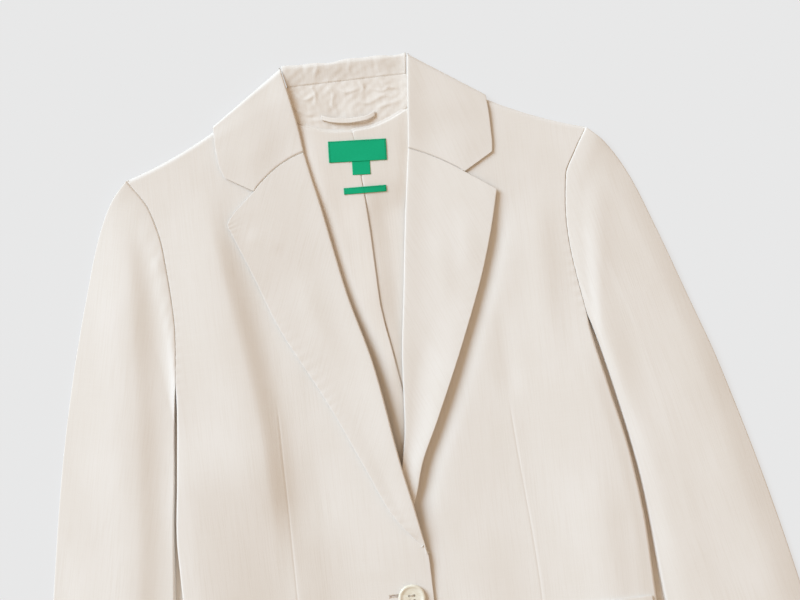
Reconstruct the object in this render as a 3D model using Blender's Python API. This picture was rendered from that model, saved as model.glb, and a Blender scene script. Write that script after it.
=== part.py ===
"""Single-breasted blazer of linen, buttoned and laid flat, face up, on a table.

All sizes below are in millimetres in the garment's own frame: x runs across the
chest, y runs up to the collar, z is up from the table, and (0, 0) is the middle
of the back neck seam.  "Left" and "right" are as seen from above.  The finished
solids are moved so that the origin is the bottom centre of their common box.

The blazer lies in layers.  On the table are the back, the under sleeves and the
part of the collar that falls behind the neck.  On these lie the fronts and the
top sleeves, and on the fronts the lapels, the collar leaves, the pocket flaps
and the button.  The left front laps over the right one.
"""
import math

import bmesh
import bpy
from mathutils import Vector

MM = 0.001

# Driving thicknesses and gaps
CLOTH = 1.4             # one panel with its seam allowances
LAPEL = 1.6             # front and facing together
SEAM = 0.3              # gap between two pieces that are sewn together
LIE = 0.7               # gap under a piece that only lies on another
JOIN = 1.3              # gap at an armhole, where both edges curve
EDGE_LIFT = 1.0         # how far a rounded edge stays above the cloth below
LABEL = 0.6             # woven labels
AIR = 3.0               # slack between the back and a front that lies on it
SLEEVE_AIR = 3.4        # slack inside a flattened sleeve
TURN = 5.0              # how far in from an edge the cloth starts to round down
ROLL = 4.0              # the same at the rolled fold of a lapel or collar leaf

# Neck and collar
NECK_HALF = 77.0        # half width of the back neck seam
NECK_DEPTH = 36.0       # how far the seam dips between its ends
STAND_TOP = 43.0        # seam between the collar stand and the collar's fall
COLLAR_TOP = 61.0       # the collar's roll behind the neck
CORNER_X = 54.0         # where that roll turns into the leaves' folds
FALL_EDGE = -15.0       # outer edge of the fall behind the neck, at its middle
FALL_EDGE_SIDE = 18.0   # the same where it comes round the shoulders
LEAF_END_X = 116.0      # where the collar's outer edge crosses the shoulder
COLLAR_ROLL = 2.6       # radius of the roll behind the neck
BAND_HALF = 50.0        # half width of the collar's band between the leaves
WRAP_IN = 5.0           # how far the shoulders stay inside the collar's fold
FLANGE = 8.0            # how far the leaves reach round below the shoulders

# Closure
CENTRE_FRONT = 4.7
OVERLAP = 18.5          # from the centre front to either front edge
BREAK_Y = -371.0        # where the lapels start
BUTTON = dict(x=CENTRE_FRONT, y=-397.0, radius=11.5, height=3.2, rim=1.0,
              hole_radius=1.0, hole_offset=2.1)

# Armholes and sides, from the shoulder point down to the hem: y, x.
SHOULDER_Y = -19.0
UNDERARM_LEFT = -196.0
UNDERARM_RIGHT = -175.0
EDGE_LEFT = [(SHOULDER_Y, -194), (-47, -177), (-82, -169.5), (-140, -167),
             (UNDERARM_LEFT, -172), (-275, -180.5), (-334, -187), (-385, -187.5), (-450, -193),
             (-530, -201), (-600, -209), (-662, -214)]
EDGE_RIGHT = [(SHOULDER_Y, 197), (-38, 185), (-58, 175), (-101, 171), (UNDERARM_RIGHT, 179),
              (-233, 190), (-300, 203), (-363, 209), (-423, 210.5), (-500, 216), (-585, 226),
              (-662, 234)]

# Fronts, from the shoulder down.  Each row runs from the neck, roll line or front
# edge (inner x, y) to the armhole or side (outer y).
FRONT_LEFT = [
    (-77, 36, -19), (-68, 14, -47), (-52, -10, -82), (-38, -34, -110), (-31, -64, -140),
    (-20, -132, -196), (-6.5, -188, -238), (9, -286, -289), (16, -323, -326),
    (23.2, -371, -368), (23.2, -440, -440), (22, -535, -530), (18, -570, -562),
    (8, -602, -592), (-9, -630, -617), (-34, -650, -638), (-66, -660, -658)]
FRONT_RIGHT = [
    (77, 36, -19), (64, 12, -38), (51, -14, -58), (45, -34, -80), (40, -56, -101),
    (32, -111, -142), (24, -165, -175), (17, -217, -223), (15, -255, -260), (9, -286, -289),
    (-3, -330, -333), (-13.8, -371, -371), (-13.8, -440, -440), (-12.6, -535, -530),
    (-8.6, -570, -562), (1.4, -602, -592), (18.4, -630, -617), (43.4, -650, -638),
    (75.4, -660, -658)]

# Centre-back seam, which drifts to the right: y, x.
CENTRE_BACK = [(0, 0), (-30, 3), (-89, 6), (-143, 7), (-231, 18), (-320, 19), (-385, 18),
               (-530, 15), (-668, 12)]
# Rows of the backs below the neck seam: y at the centre back, on the left and on the right.
BACK_ROWS = [
    (0, -60, -58), (-30, -82, -80), (-60, -112, -101), (-89, -140, -135), (-116, -168, -160),
    (-143, -196, -175), (-187, -236, -212), (-231, -275, -240), (-275, -305, -285),
    (-320, -334, -325), (-385, -385, -385), (-455, -455, -455), (-530, -530, -530),
    (-600, -600, -600), (-668, -662, -662)]
NECK_STEPS = 5          # straight stretches in each half of the neck seam

# Lapels, from the break up to the gorge seam: fold x, y and outer edge x, y.
LAPEL_LEFT = [
    (22.5, -362, 18.5, -355), (16, -323, -4, -325), (9, -286, -22, -283),
    (-4, -200, -48, -223), (-20, -134, -81, -156), (-27, -95, -98, -108),
    (-33, -60, -110, -76), (-42, -13.4, -113.5, -62)]
LAPEL_RIGHT = [
    (-8, -352, -2, -346), (1, -318, 17, -316), (9, -286, 27, -285),
    (15, -255, 43, -252), (20, -195, 76, -180), (27, -145, 97, -128),
    (36, -80, 109, -90), (45.5, -20.4, 116, -63)]
NOTCH_LEFT = (-88, -41)
NOTCH_RIGHT = (91, -45)

# Collar leaves, from the shoulder fold down to the gorge seam.
LEAF_LEFT = [(-54, 60, -116, 18), (-48, 30, -116, 2), (-44, 6, -115, -14), (-42, -13, -111, -27)]
LEAF_RIGHT = [(54, 60, 116, 18), (50.5, 28, 117, -2), (48, 2, 117, -20), (45.5, -20, 116, -31)]

# Sleeves, from the armhole to the cuff: outer edge x, y and inner edge x, y.  The
# armhole's curve fades out over the first rows, as the fullness column says.
SLEEVE_LEFT = [
    (-194, -19, -172, -196, 1.0), (-209, -36, -175, -214, 0.8), (-222, -62, -178, -236, 0.5),
    (-240, -116, -182, -272, 0.2), (-258, -178, -187, -312, 0.05), (-276, -252, -191, -352, 0.0),
    (-299, -375, -199, -430, 0.0), (-318, -490, -208, -520, 0.0), (-334, -592, -218, -607, 0.0)]
SLEEVE_RIGHT = [
    (197, -19, 179, -175, 1.0), (211, -33, 184.5, -195, 0.8), (228, -62, 190, -220, 0.5),
    (246, -110, 196.5, -252, 0.2), (266, -170, 203, -288, 0.05), (285, -228, 208.5, -326, 0.0),
    (321, -368, 215, -412, 0.0), (344, -485, 226, -510, 0.0), (361, -590, 239, -606, 0.0)]

# Largest folds of the fronts and sleeves: ends x, y and x, y, half width, depth.
FOLDS = [
    ("left chest trough", -150, -70, -128, -260, 16, -1.3),
    ("left waist trough", -128, -260, -104, -480, 14, -1.0),
    ("left side ridge", -150, -120, -160, -420, 14, 0.7),
    ("right waist trough", 112, -240, 116, -430, 10, -0.8),
    ("right armhole ridge", 150, -70, 150, -210, 12, 0.7),
    ("left sleeve trough", -208, -110, -250, -520, 13, -1.4),
    ("right sleeve trough", 206, -110, 262, -520, 15, -1.4),
    ("right sleeve ridge", 262, -190, 318, -540, 12, 0.7),
]

# Pocket flaps, from the seam down to the rounded bottom.
FLAP_LEFT = [
    (-54, -418, -185, -418), (-54, -448, -186, -448), (-56, -462, -184, -462),
    (-61, -468, -179, -468), (-68, -470, -172, -470)]
FLAP_RIGHT = [
    (75, -418, 206, -418), (75, -448, 207, -448), (77, -462, 205, -462),
    (82, -468, 200, -468), (89, -470, 193, -470)]

# Labels on the inside of the back: middle x, y, half width, half height, turn in degrees.
LABELS = {
    "main_label": (3, -17, 24.5, 9.0, -3.4),
    "size_tab": (2, -35, 7.5, 6.5, -3.4),
    "small_label": (5.6, -50.5, 18, 2.75, -2.0),
}
# Locker loop: x, y of its middle line.
LOOP = [(-24, 15), (-14, 9.5), (0, 7.5), (12, 9), (22, 13)]
LOOP_WIDTH = 5.0
LOOP_THICK = 1.2

# Colours, roughness
LINEN = ((0.80, 0.74, 0.66), 0.85)
LINEN_INSIDE = ((0.76, 0.68, 0.58), 0.88)
GREEN = ((0.04, 0.46, 0.26), 0.6)
SHELL = ((0.82, 0.76, 0.66), 0.3)


def ease(value):
    """0 below 0, 1 above 1, and a soft step between."""
    value = min(max(value, 0.0), 1.0)
    return value * value * (3.0 - 2.0 * value)


def blend(a, b, amount):
    """The value that is `amount` of the way from a to b."""
    return a + (b - a) * amount


def slopes(places, values):
    """Slopes of a curve through the values that never overshoots them."""
    steps = [(v1 - v0) / (p1 - p0)
             for p0, p1, v0, v1 in zip(places, places[1:], values, values[1:])]
    inner = [2 * a * b / (a + b) if a * b > 0 else 0.0 for a, b in zip(steps, steps[1:])]
    return [steps[0]] + inner + [steps[-1]]


def read(places, values, tangents, place):
    """The value at a place on the smooth curve through the values."""
    place = min(max(place, places[0]), places[-1])
    i = 0
    while i < len(places) - 2 and place > places[i + 1]:
        i += 1
    span = places[i + 1] - places[i]
    t = (place - places[i]) / span
    start, end = 2 * t**3 - 3 * t**2 + 1, 3 * t**2 - 2 * t**3
    leave, arrive = t**3 - 2 * t**2 + t, t**3 - t**2
    return (start * values[i] + end * values[i + 1]
            + span * (leave * tangents[i] + arrive * tangents[i + 1]))


class Table:
    """A smooth curve through rows of numbers, read by the distance travelled."""

    def __init__(self, rows):
        self.places = [0.0]
        for before, after in zip(rows, rows[1:]):
            self.places.append(self.places[-1] + max(math.dist(before[:2], after[:2]),
                                                     math.dist(before[2:4], after[2:4]), 1.0))
        self.columns = list(zip(*rows))
        self.slopes = [slopes(self.places, column) for column in self.columns]
        self.length = self.places[-1]

    def at(self, place):
        """Every column's value at a distance from the first row."""
        return [read(self.places, column, tangents, place)
                for column, tangents in zip(self.columns, self.slopes)]


def edge_curve(rows):
    """x as a function of y along a seam or an edge that runs down the garment."""
    places = [-y for y, _x in rows]
    values = [x for _y, x in rows]
    tangents = slopes(places, values)
    return lambda y: read(places, values, tangents, -y)


seam_x = edge_curve(CENTRE_BACK)
edge_left = edge_curve(EDGE_LEFT)
edge_right = edge_curve(EDGE_RIGHT)


def neck_y(x):
    """The back neck seam."""
    return NECK_DEPTH * (x / NECK_HALF) ** 2


def fall_y(x):
    """The outer edge of the collar's fall on the underside."""
    return blend(FALL_EDGE, FALL_EDGE_SIDE, (x / LEAF_END_X) ** 2)


def back_low(x, y):
    """Underside of the back: on the table, or up on the collar's fall near the neck."""
    return (CLOTH + SEAM) * ease((y - fall_y(x) + 62.0) / 36.0)


def back_high(x, y):
    """Upper side of the back, which is the inside of the blazer."""
    return back_low(x, y) + CLOTH


def folds(x, y):
    """How far the largest folds raise or sink the cloth here."""
    total = 0.0
    for _name, x0, y0, x1, y1, half, depth in FOLDS:
        along = ((x - x0) * (x1 - x0) + (y - y0) * (y1 - y0)) / math.dist((x0, y0), (x1, y1)) ** 2
        near = min(max(along, 0.0), 1.0)
        away = math.dist((x, y), (blend(x0, x1, near), blend(y0, y1, near)))
        total += depth * math.exp(-(away / half) ** 2)
    return total


def slack(x, y):
    """Air between the back and a front: least at the neck and the hem."""
    return AIR * (1.0 - 0.5 * ease((y + 70.0) / 90.0)) * (1.0 - 0.4 * ease((-560.0 - y) / 90.0))


def front_right_high(x, y):
    """Upper side of the right front."""
    return back_high(x, y) + SEAM + slack(x, y) + folds(x, y) + CLOTH


def over_right(x, y):
    """1 where the left front lies over the right one, 0 well clear of it."""
    edge = CENTRE_FRONT - OVERLAP + 0.27 * max(y - BREAK_Y, 0.0)
    return ease((x - edge + 60.0) / 45.0) * ease((-205.0 - y) / 50.0)


def front_left_high(x, y):
    """Upper side of the left front, which climbs over the right front and its lapel."""
    over_lapel = ease((y - BREAK_Y + 35.0) / 30.0)
    return (front_right_high(x, y)
            + over_right(x, y) * (CLOTH + LIE + over_lapel * (LAPEL + EDGE_LIFT)))


def sleeve_high(x, y):
    """Upper side of a top sleeve."""
    return CLOTH + SEAM + SLEEVE_AIR + CLOTH + folds(x, y)


def edge_steps(reach):
    """Distances in from a rounded edge, each with how far round the cloth has turned."""
    return [(reach * (1 - math.sin(a)), 1 - math.cos(a)) for a in (math.pi / 2, 1.05, 0.52, 0.0)]


def stations(length, count, start=0.0, end=0.0, crowd=1.0):
    """Distances along a length, closer at rounded ends, each with the turn there.

    With `crowd` above 1 the distances are also closer near the start.
    """
    first = edge_steps(start) if start else [(0.0, 0.0)]
    last = [(length - d, turn) for d, turn in reversed(edge_steps(end))] if end else [(length, 0.0)]
    middle = [(blend(first[-1][0], last[0][0], (i / count) ** crowd), 0.0)
              for i in range(1, count)]
    return first + middle + last


def panel(rows, high, low, size, inner=0.0, outer=0.0, top=0.0, edge=None, underarm=0.0,
          bow=0.0, bend=None, inset=0.0, crowd=1.0, corner_rows=0):
    """The outer surface of a panel as rows of points, from a table of its edges.

    `inner`, `outer` and `top` are how far in those edges start to round down from
    high(x, y) to low(x, y).  `edge` gives x on the outer edge, which only rounds
    down below `underarm`.  `bow` bends the first rows down between their ends,
    `bend` is a corner in the last row and its place along it, `inset` moves the
    inner edge in, `crowd` draws the rows and columns to their start, and the last
    `corner_rows` of the table, round a corner, all become rows of the panel.
    """
    table = Table(rows)
    last = table.at(table.length)
    corner = table.places[len(rows) - 1 - corner_rows] + 12.0
    places = [step for step in stations(table.length, size[0], start=top, crowd=crowd)
              if step[0] < corner or not corner_rows]
    places += [(place, 0.0) for place in table.places if corner_rows and place > corner]
    surface = []
    for place, top_turn in places:
        x0, y0, x1, y1 = table.at(place)
        if edge:
            x1 = edge(y1)
        width = math.dist((x0, y0), (x1, y1))
        x0, y0 = blend(x0, x1, inset / width), blend(y0, y1, inset / width)
        width -= inset
        outer_turns = ease((underarm - y1) / 30.0) if edge else 1.0
        line = []
        for across, turn in stations(width, size[1], start=min(inner, width * 0.4),
                                     end=min(outer, width * 0.4), crowd=crowd):
            f = across / width
            x, y = blend(x0, x1, f), blend(y0, y1, f)
            y -= bow * 4 * f * (1 - f) * (1 - ease(place / 60.0))
            if bend:
                (bend_x, bend_y), at = bend
                fade = ease(1 - (table.length - place) / 45.0)
                tent = min(f / at, (1 - f) / (1 - at)) * fade
                x += (bend_x - blend(last[0], last[2], at)) * tent
                y += (bend_y - blend(last[1], last[3], at)) * tent
            if f > 0.5:
                turn *= outer_turns
            whole = 1 - (1 - turn) * (1 - top_turn)
            line.append(Vector((x, y, blend(high(x, y), low(x, y), whole))))
        surface.append(line)
    return surface


def thicken(surface, thick):
    """The inner side of a sheet, `thick` in from its outer surface along the normals."""
    rows, columns = len(surface), len(surface[0])
    inner = []
    for i in range(rows):
        line = []
        for j in range(columns):
            down = surface[min(i + 1, rows - 1)][j] - surface[max(i - 1, 0)][j]
            over = surface[i][min(j + 1, columns - 1)] - surface[i][max(j - 1, 0)]
            line.append(surface[i][j] - down.cross(over).normalized() * thick)
        inner.append(line)
    return inner


def flipped(surface):
    """The same surface with its columns reversed, so that its other side is the outer one."""
    return [list(reversed(line)) for line in surface]


def paint(thing, name, finish):
    """A plain material of the piece's own."""
    colour, roughness = finish
    material = bpy.data.materials.new(name)
    material.use_nodes = True
    shader = material.node_tree.nodes["Principled BSDF"]
    shader.inputs["Base Color"].default_value = (*colour, 1.0)
    shader.inputs["Roughness"].default_value = roughness
    shader.inputs["Metallic"].default_value = 0.0
    thing.data.materials.append(material)


def add(name, mesh_data, finish):
    """An object of the given bmesh, in metres."""
    bmesh.ops.recalc_face_normals(mesh_data, faces=mesh_data.faces[:])
    for vertex in mesh_data.verts:
        vertex.co *= MM
    mesh = bpy.data.meshes.new(name)
    mesh_data.to_mesh(mesh)
    mesh_data.free()
    thing = bpy.data.objects.new(name, mesh)
    bpy.context.collection.objects.link(thing)
    paint(thing, name, finish)
    return thing


def solid(name, upper, lower, finish):
    """A closed sheet between two surfaces with the same rows and columns."""
    body = bmesh.new()
    rows, columns = len(upper), len(upper[0])
    sides = [[[body.verts.new(point) for point in line] for line in surface]
             for surface in (upper, lower)]
    for side in sides:
        for i in range(rows - 1):
            for j in range(columns - 1):
                body.faces.new((side[i][j], side[i][j + 1], side[i + 1][j + 1], side[i + 1][j]))
    rim = [(0, j) for j in range(columns - 1)]
    rim += [(i, columns - 1) for i in range(rows - 1)]
    rim += [(rows - 1, j) for j in range(columns - 1, 0, -1)]
    rim += [(i, 0) for i in range(rows - 1, 0, -1)]
    for (i0, j0), (i1, j1) in zip(rim, rim[1:] + rim[:1]):
        body.faces.new((sides[0][i0][j0], sides[0][i1][j1], sides[1][i1][j1], sides[1][i0][j0]))
    return add(name, body, finish)


def sheet(name, surface, thick, finish):
    """A sheet of cloth whose outer side is the surface seen with its normals up."""
    middle = surface[len(surface) // 2]
    j = len(middle) // 2
    down = surface[len(surface) // 2 + 1][j] - middle[j]
    over = middle[j + 1] - middle[j]
    if down.cross(over).z < 0:
        surface = flipped(surface)
    return solid(name, surface, thicken(surface, thick), finish)


def above_back(x, y):
    """The lowest that cloth lying on the back comes down at its edges."""
    return back_high(x, y) + EDGE_LIFT


def above_right(x, y):
    """The same for the left lapel's fold, which crosses the right front and its lapel."""
    return blend(above_back(x, y), front_left_high(x, y) - CLOTH, over_right(x, y))


def make_backs():
    """The two halves of the back, flat on the table and joined at the centre seam."""
    for name, edge, side, far in (("back_left", edge_left, -1, 1), ("back_right", edge_right, 1, 2)):
        rows = []
        for i in range(NECK_STEPS):
            x = NECK_HALF * (1 - i / NECK_STEPS)
            y = neck_y(x)
            rows.append((side * x, y, blend(SHOULDER_Y, BACK_ROWS[0][far], i / NECK_STEPS)))
        rows += [(seam_x(row[0]) + side * SEAM, row[0], row[far]) for row in BACK_ROWS]
        upper, lower = [], []
        for x0, y0, y1 in rows:
            high, low = [], []
            for i in range(7):
                f = i / 6
                x, y = blend(x0, edge(y1), f), blend(y0 - SEAM, y1, f)
                if y1 > BACK_ROWS[0][far]:
                    y -= 4 * WRAP_IN * f * (1 - f) * (y1 - BACK_ROWS[0][far]) / 40.0
                high.append(Vector((x, y, back_high(x, y))))
                low.append(Vector((x, y, back_low(x, y))))
            upper.append(high)
            lower.append(low)
        solid(name, upper, lower, LINEN_INSIDE)


def make_fronts():
    """The fronts, from the shoulders to the hem, with their cut-away corners."""
    for name, rows, high, edge, underarm in (
            ("front_left", FRONT_LEFT, front_left_high, edge_left, UNDERARM_LEFT),
            ("front_right", FRONT_RIGHT, front_right_high, edge_right, UNDERARM_RIGHT)):
        rows = [(x, y, edge(far_y), far_y) for x, y, far_y in rows]
        surface = panel(rows, high, above_back, (19, 8), outer=TURN, top=TURN, edge=edge,
                        underarm=underarm, bow=WRAP_IN, inset=ROLL + 2.0, crowd=1.35, corner_rows=5)
        sheet(name, surface, CLOTH, LINEN)


def make_lapels():
    """The lapels: the top of each front with its facing, turned over at the roll line."""
    for name, rows, front, low, notch in (
            ("lapel_left", LAPEL_LEFT, front_left_high, above_right, NOTCH_LEFT),
            ("lapel_right", LAPEL_RIGHT, front_right_high, above_back, NOTCH_RIGHT)):
        def on_front(x, y, front=front):
            return front(x, y) + EDGE_LIFT + LAPEL

        corner = ((notch[0], notch[1] - JOIN), 0.62)
        surface = panel(rows, on_front, low, (13, 5), inner=ROLL, bend=corner)
        sheet(name, surface, LAPEL, LINEN)


def leaf_high(x, y):
    """Upper side of a collar leaf, which lies on the shoulder of a front."""
    return front_right_high(x, y) + LIE + CLOTH


def make_leaves():
    """The collar's leaves, which come round the shoulders and lie on the fronts."""
    for name, rows, notch in (("collar_leaf_left", LEAF_LEFT, NOTCH_LEFT),
                              ("collar_leaf_right", LEAF_RIGHT, NOTCH_RIGHT)):
        lying = panel(rows, leaf_high, above_back, (7, 6), inner=ROLL, bend=(notch, 0.70))
        fold = lying[0]
        start, end = fold[0], fold[-1]
        out = Vector((abs(start.y - end.y), abs(start.x - end.x), 0.0)).normalized()
        out.x *= math.copysign(1.0, end.x)
        radius = leaf_high(*fold[4].xy) / 2
        lying = [line for line in lying if (fold[4] - line[4]).dot(out) > radius + 1]
        wrap = []
        for angle in (math.pi, math.pi, 2.5, 2.0, 1.57, 1.1, 0.6, 0.0):
            flange = FLANGE if not wrap else 0.0
            line = []
            for j, point in enumerate(fold):
                reach = radius * (math.sin(angle) - 1.0) - flange * j / len(fold)
                line.append(Vector((point.x + out.x * reach, point.y + out.y * reach,
                                    radius * (1.0 + math.cos(angle)))))
            wrap.append(line)
        for step, line in zip((0.25, 0.5, 1.0), [wrap[-1]] + lying):
            for j in range(3):
                line[j].z = blend(line[4].z, line[j].z, step) if line is not wrap[-1] else line[4].z
        sheet(name, wrap + lying, CLOTH, LINEN)


def make_collar_back():
    """The stand and, seamed to it, the collar's fall: up, over the roll and down behind."""
    upper, lower = [], []
    for i in range(-NECK_STEPS + 1, NECK_STEPS):
        x = NECK_HALF * i / NECK_STEPS
        line = [blend(neck_y(x), STAND_TOP, f) for f in (0.0, 0.33, 0.67, 1.0)]
        upper.append([Vector((x, y, back_high(x, STAND_TOP))) for y in line])
        lower.append([Vector((x, y, back_low(x, STAND_TOP))) for y in line])
    solid("collar_stand", upper, lower, LINEN_INSIDE)

    surface = []
    band_low = back_high(0.0, STAND_TOP)
    roll_in = COLLAR_TOP - COLLAR_ROLL
    steps = 10
    for i in range(steps + 1):
        f = blend(-1.0, 1.0, i / steps)
        line = []
        for y in (STAND_TOP + SEAM, 48.0, 53.0, roll_in):
            rise = ease((y - STAND_TOP) / (roll_in - STAND_TOP))
            line.append(Vector((f * BAND_HALF, y, blend(band_low, 2 * COLLAR_ROLL, rise))))
        for angle in (0.5, 1.0, 1.57, 2.1, 2.6):
            line.append(Vector((f * BAND_HALF, roll_in + COLLAR_ROLL * math.sin(angle),
                                COLLAR_ROLL * (1.0 + math.cos(angle)))))
        for g in (0.0, 0.15, 0.4, 0.7, 1.0):
            half = blend(BAND_HALF, LEAF_END_X - 24.0, g) - 8.0 * ease(6 * g)
            line.append(Vector((f * half, blend(roll_in, fall_y(f * half), g), 0.0)))
        surface.append(line)
    surface = flipped(surface)
    if (surface[1][-1] - surface[0][-1]).cross(surface[0][-2] - surface[0][-1]).z > 0:
        surface = flipped(surface)
    solid("collar_fall", surface, thicken(surface, CLOTH), LINEN)


def make_sleeves():
    """Two-piece sleeves, pressed flat: the under sleeve on the table, the top sleeve on it."""
    for label, rows, edge, underarm in (
            ("left", SLEEVE_LEFT, edge_left, UNDERARM_LEFT),
            ("right", SLEEVE_RIGHT, edge_right, UNDERARM_RIGHT)):
        table = Table(rows)
        side = math.copysign(1.0, rows[0][0])

        def bow(f, edge=edge, underarm=underarm):
            straight = blend(edge(SHOULDER_Y), edge(underarm), f)
            return edge(blend(SHOULDER_Y, underarm, f)) - straight

        upper, flat_high, flat_low = [], [], []
        for place, _turn in stations(table.length, 16, crowd=1.2):
            x0, y0, x1, y1, fullness = table.at(place)
            x1 = side * max(abs(x1), abs(edge(y1)))
            width = math.dist((x0, y0), (x1, y1))
            line, high, low = [], [], []
            for across, turn in stations(width, 7, start=TURN, end=TURN):
                f = across / width
                x = blend(x0, x1, f) + bow(f) * fullness + side * JOIN
                y = blend(y0, y1, f)
                turned = turn * ease(place / 25.0) if f > 0.5 else turn
                line.append(Vector((x, y, blend(sleeve_high(x, y), CLOTH + LIE, turned))))
                high.append(Vector((x, y, CLOTH)))
                low.append(Vector((x, y, 0.0)))
            upper.append(line)
            flat_high.append(high[::2])
            flat_low.append(low[::2])
        sheet("top_sleeve_" + label, upper, CLOTH, LINEN)
        solid("under_sleeve_" + label, flat_high, flat_low, LINEN)


def make_flaps():
    """The pocket flaps, each hanging from a seam in its front."""
    for name, rows, front in (("pocket_flap_left", FLAP_LEFT, front_left_high),
                              ("pocket_flap_right", FLAP_RIGHT, front_right_high)):
        def on_front(x, y, front=front):
            return front(x, y) + LIE + LAPEL

        sheet(name, panel(rows, on_front, on_front, (5, 7)), LAPEL, LINEN)


def make_labels():
    """Bare woven labels, sewn inside the back below the neck seam."""
    for name, (x, y, half_x, half_y, degrees) in LABELS.items():
        turn = math.radians(degrees)
        upper, lower = [], []
        for i in range(3):
            high, low = [], []
            for j in range(5):
                across, up = blend(-half_x, half_x, j / 4), blend(half_y, -half_y, i / 2)
                px = x + across * math.cos(turn) - up * math.sin(turn)
                py = y + across * math.sin(turn) + up * math.cos(turn)
                base = back_high(px, py) + LIE
                high.append(Vector((px, py, base + LABEL)))
                low.append(Vector((px, py, base)))
            upper.append(high)
            lower.append(low)
        solid(name, upper, lower, GREEN)


def make_loop():
    """The locker loop, a folded strip of the same cloth across the neck seam."""
    table = Table([(x, y, 0.0, 0.0) for x, y in LOOP])
    upper, lower = [], []
    for i in range(9):
        x, y = table.at(table.length * i / 8)[:2]
        base = back_high(x, 0.0) + LIE
        ys = (y + LOOP_WIDTH / 2, y, y - LOOP_WIDTH / 2)
        upper.append([Vector((x, each, base + LOOP_THICK)) for each in ys])
        lower.append([Vector((x, each, base)) for each in ys])
    solid("locker_loop", upper, lower, LINEN_INSIDE)


def make_button():
    """A four-hole button with a raised rim, fastened through the left front."""
    radius, height, rim = BUTTON["radius"], BUTTON["height"], BUTTON["rim"]
    base = max(front_left_high(BUTTON["x"] + radius * math.cos(a), BUTTON["y"] + radius * math.sin(a))
               for a in [math.tau * i / 24 for i in range(24)])
    profile = [(0.0, 0.0), (radius - 2.0, 0.0), (radius, height * 0.5), (radius - 1.2, height),
               (radius - 2.4, height - 0.3), (radius - 3.6, height - rim), (0.0, height - rim)]
    body = bmesh.new()
    verts = [body.verts.new((r, 0.0, z)) for r, z in profile]
    edges = [body.edges.new(pair) for pair in zip(verts, verts[1:])]
    bmesh.ops.spin(body, geom=verts + edges, axis=(0, 0, 1), cent=(0, 0, 0), steps=28,
                   angle=math.tau, use_duplicate=False)
    bmesh.ops.remove_doubles(body, verts=body.verts[:], dist=0.001)
    for vertex in body.verts:
        vertex.co += Vector((BUTTON["x"], BUTTON["y"], base))
    button = add("button", body, SHELL)
    drill = bmesh.new()
    for i in range(4):
        a = math.tau * (i + 0.5) / 4
        centre = Vector((BUTTON["x"] + BUTTON["hole_offset"] * math.sqrt(2) * math.cos(a),
                         BUTTON["y"] + BUTTON["hole_offset"] * math.sqrt(2) * math.sin(a),
                         base + height / 2))
        made = bmesh.ops.create_cone(drill, cap_ends=True, segments=8, depth=3 * height,
                                     radius1=BUTTON["hole_radius"], radius2=BUTTON["hole_radius"])
        bmesh.ops.translate(drill, verts=made["verts"], vec=centre)
    cutter = add("button_drill", drill, SHELL)
    cutter.hide_render = True
    cutter.display_type = "WIRE"
    cut = button.modifiers.new("holes", "BOOLEAN")
    cut.operation = "DIFFERENCE"
    cut.solver = "EXACT"
    cut.object = cutter


def centre_everything():
    """Moves every piece so that the origin is the bottom centre of their common box."""
    meshes = [thing for thing in bpy.data.objects if not thing.hide_render]
    points = [vertex.co for thing in meshes for vertex in thing.data.vertices]
    middle = [(min(p[i] for p in points) + max(p[i] for p in points)) / 2 for i in (0, 1)]
    for thing in bpy.data.objects:
        for vertex in thing.data.vertices:
            vertex.co -= Vector((middle[0], middle[1], 0.0))
    print("garment's neck seam lies at", [-round(v / MM, 2) for v in middle], "mm")


for old in list(bpy.data.objects):
    bpy.data.objects.remove(old, do_unlink=True)
make_backs()
make_fronts()
make_lapels()
make_leaves()
make_collar_back()
make_sleeves()
make_flaps()
make_labels()
make_loop()
make_button()
centre_everything()
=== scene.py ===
# %% [markdown]
# # A linen blazer, buttoned and laid flat
#
# A tailored jacket is a stack of thin layers: the back on the table, the fronts
# on it, and on the fronts the lapels, the collar, the pocket flaps and the
# button.  Each piece of cloth here is a closed thin shell made in code.  The
# outline of a piece comes from a short table, and its height above the table
# from a function, because two layers that read the same function never cross.

# %% Frame
import math
import bpy
import numpy as np
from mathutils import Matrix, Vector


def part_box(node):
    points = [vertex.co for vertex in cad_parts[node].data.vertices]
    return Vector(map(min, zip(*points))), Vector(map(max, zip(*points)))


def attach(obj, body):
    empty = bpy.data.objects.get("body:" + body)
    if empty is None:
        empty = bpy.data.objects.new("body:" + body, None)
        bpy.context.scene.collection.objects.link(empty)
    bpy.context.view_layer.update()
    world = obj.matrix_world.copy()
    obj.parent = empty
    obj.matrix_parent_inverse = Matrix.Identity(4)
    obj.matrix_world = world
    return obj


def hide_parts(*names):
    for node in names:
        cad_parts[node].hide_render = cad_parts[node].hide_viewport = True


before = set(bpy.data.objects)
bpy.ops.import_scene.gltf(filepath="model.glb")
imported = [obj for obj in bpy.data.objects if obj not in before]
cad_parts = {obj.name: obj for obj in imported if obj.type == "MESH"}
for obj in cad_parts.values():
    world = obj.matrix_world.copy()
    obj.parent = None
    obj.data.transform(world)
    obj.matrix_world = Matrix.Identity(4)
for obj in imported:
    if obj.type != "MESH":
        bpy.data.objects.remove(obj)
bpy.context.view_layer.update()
print("frame:", len(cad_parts), "nodes")

# %% [markdown]
# The tables below are in millimetres in the garment's own frame: x runs across
# the chest, y runs up to the collar, and (0, 0) is the middle of the back neck
# seam.  The button's node tells where that frame lies, so one shift takes every
# piece to its place.

# %% Sizes
MM = 0.001
BUTTON = (4.7, -397.0)          # middle of the button
BUTTON_RADIUS = 11.5
low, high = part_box("button")
SHIFT = np.array([(low.x + high.x) / 2 / MM - BUTTON[0], (low.y + high.y) / 2 / MM - BUTTON[1], 0.0])
print("garment frame lies at", SHIFT.round(2))

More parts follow.
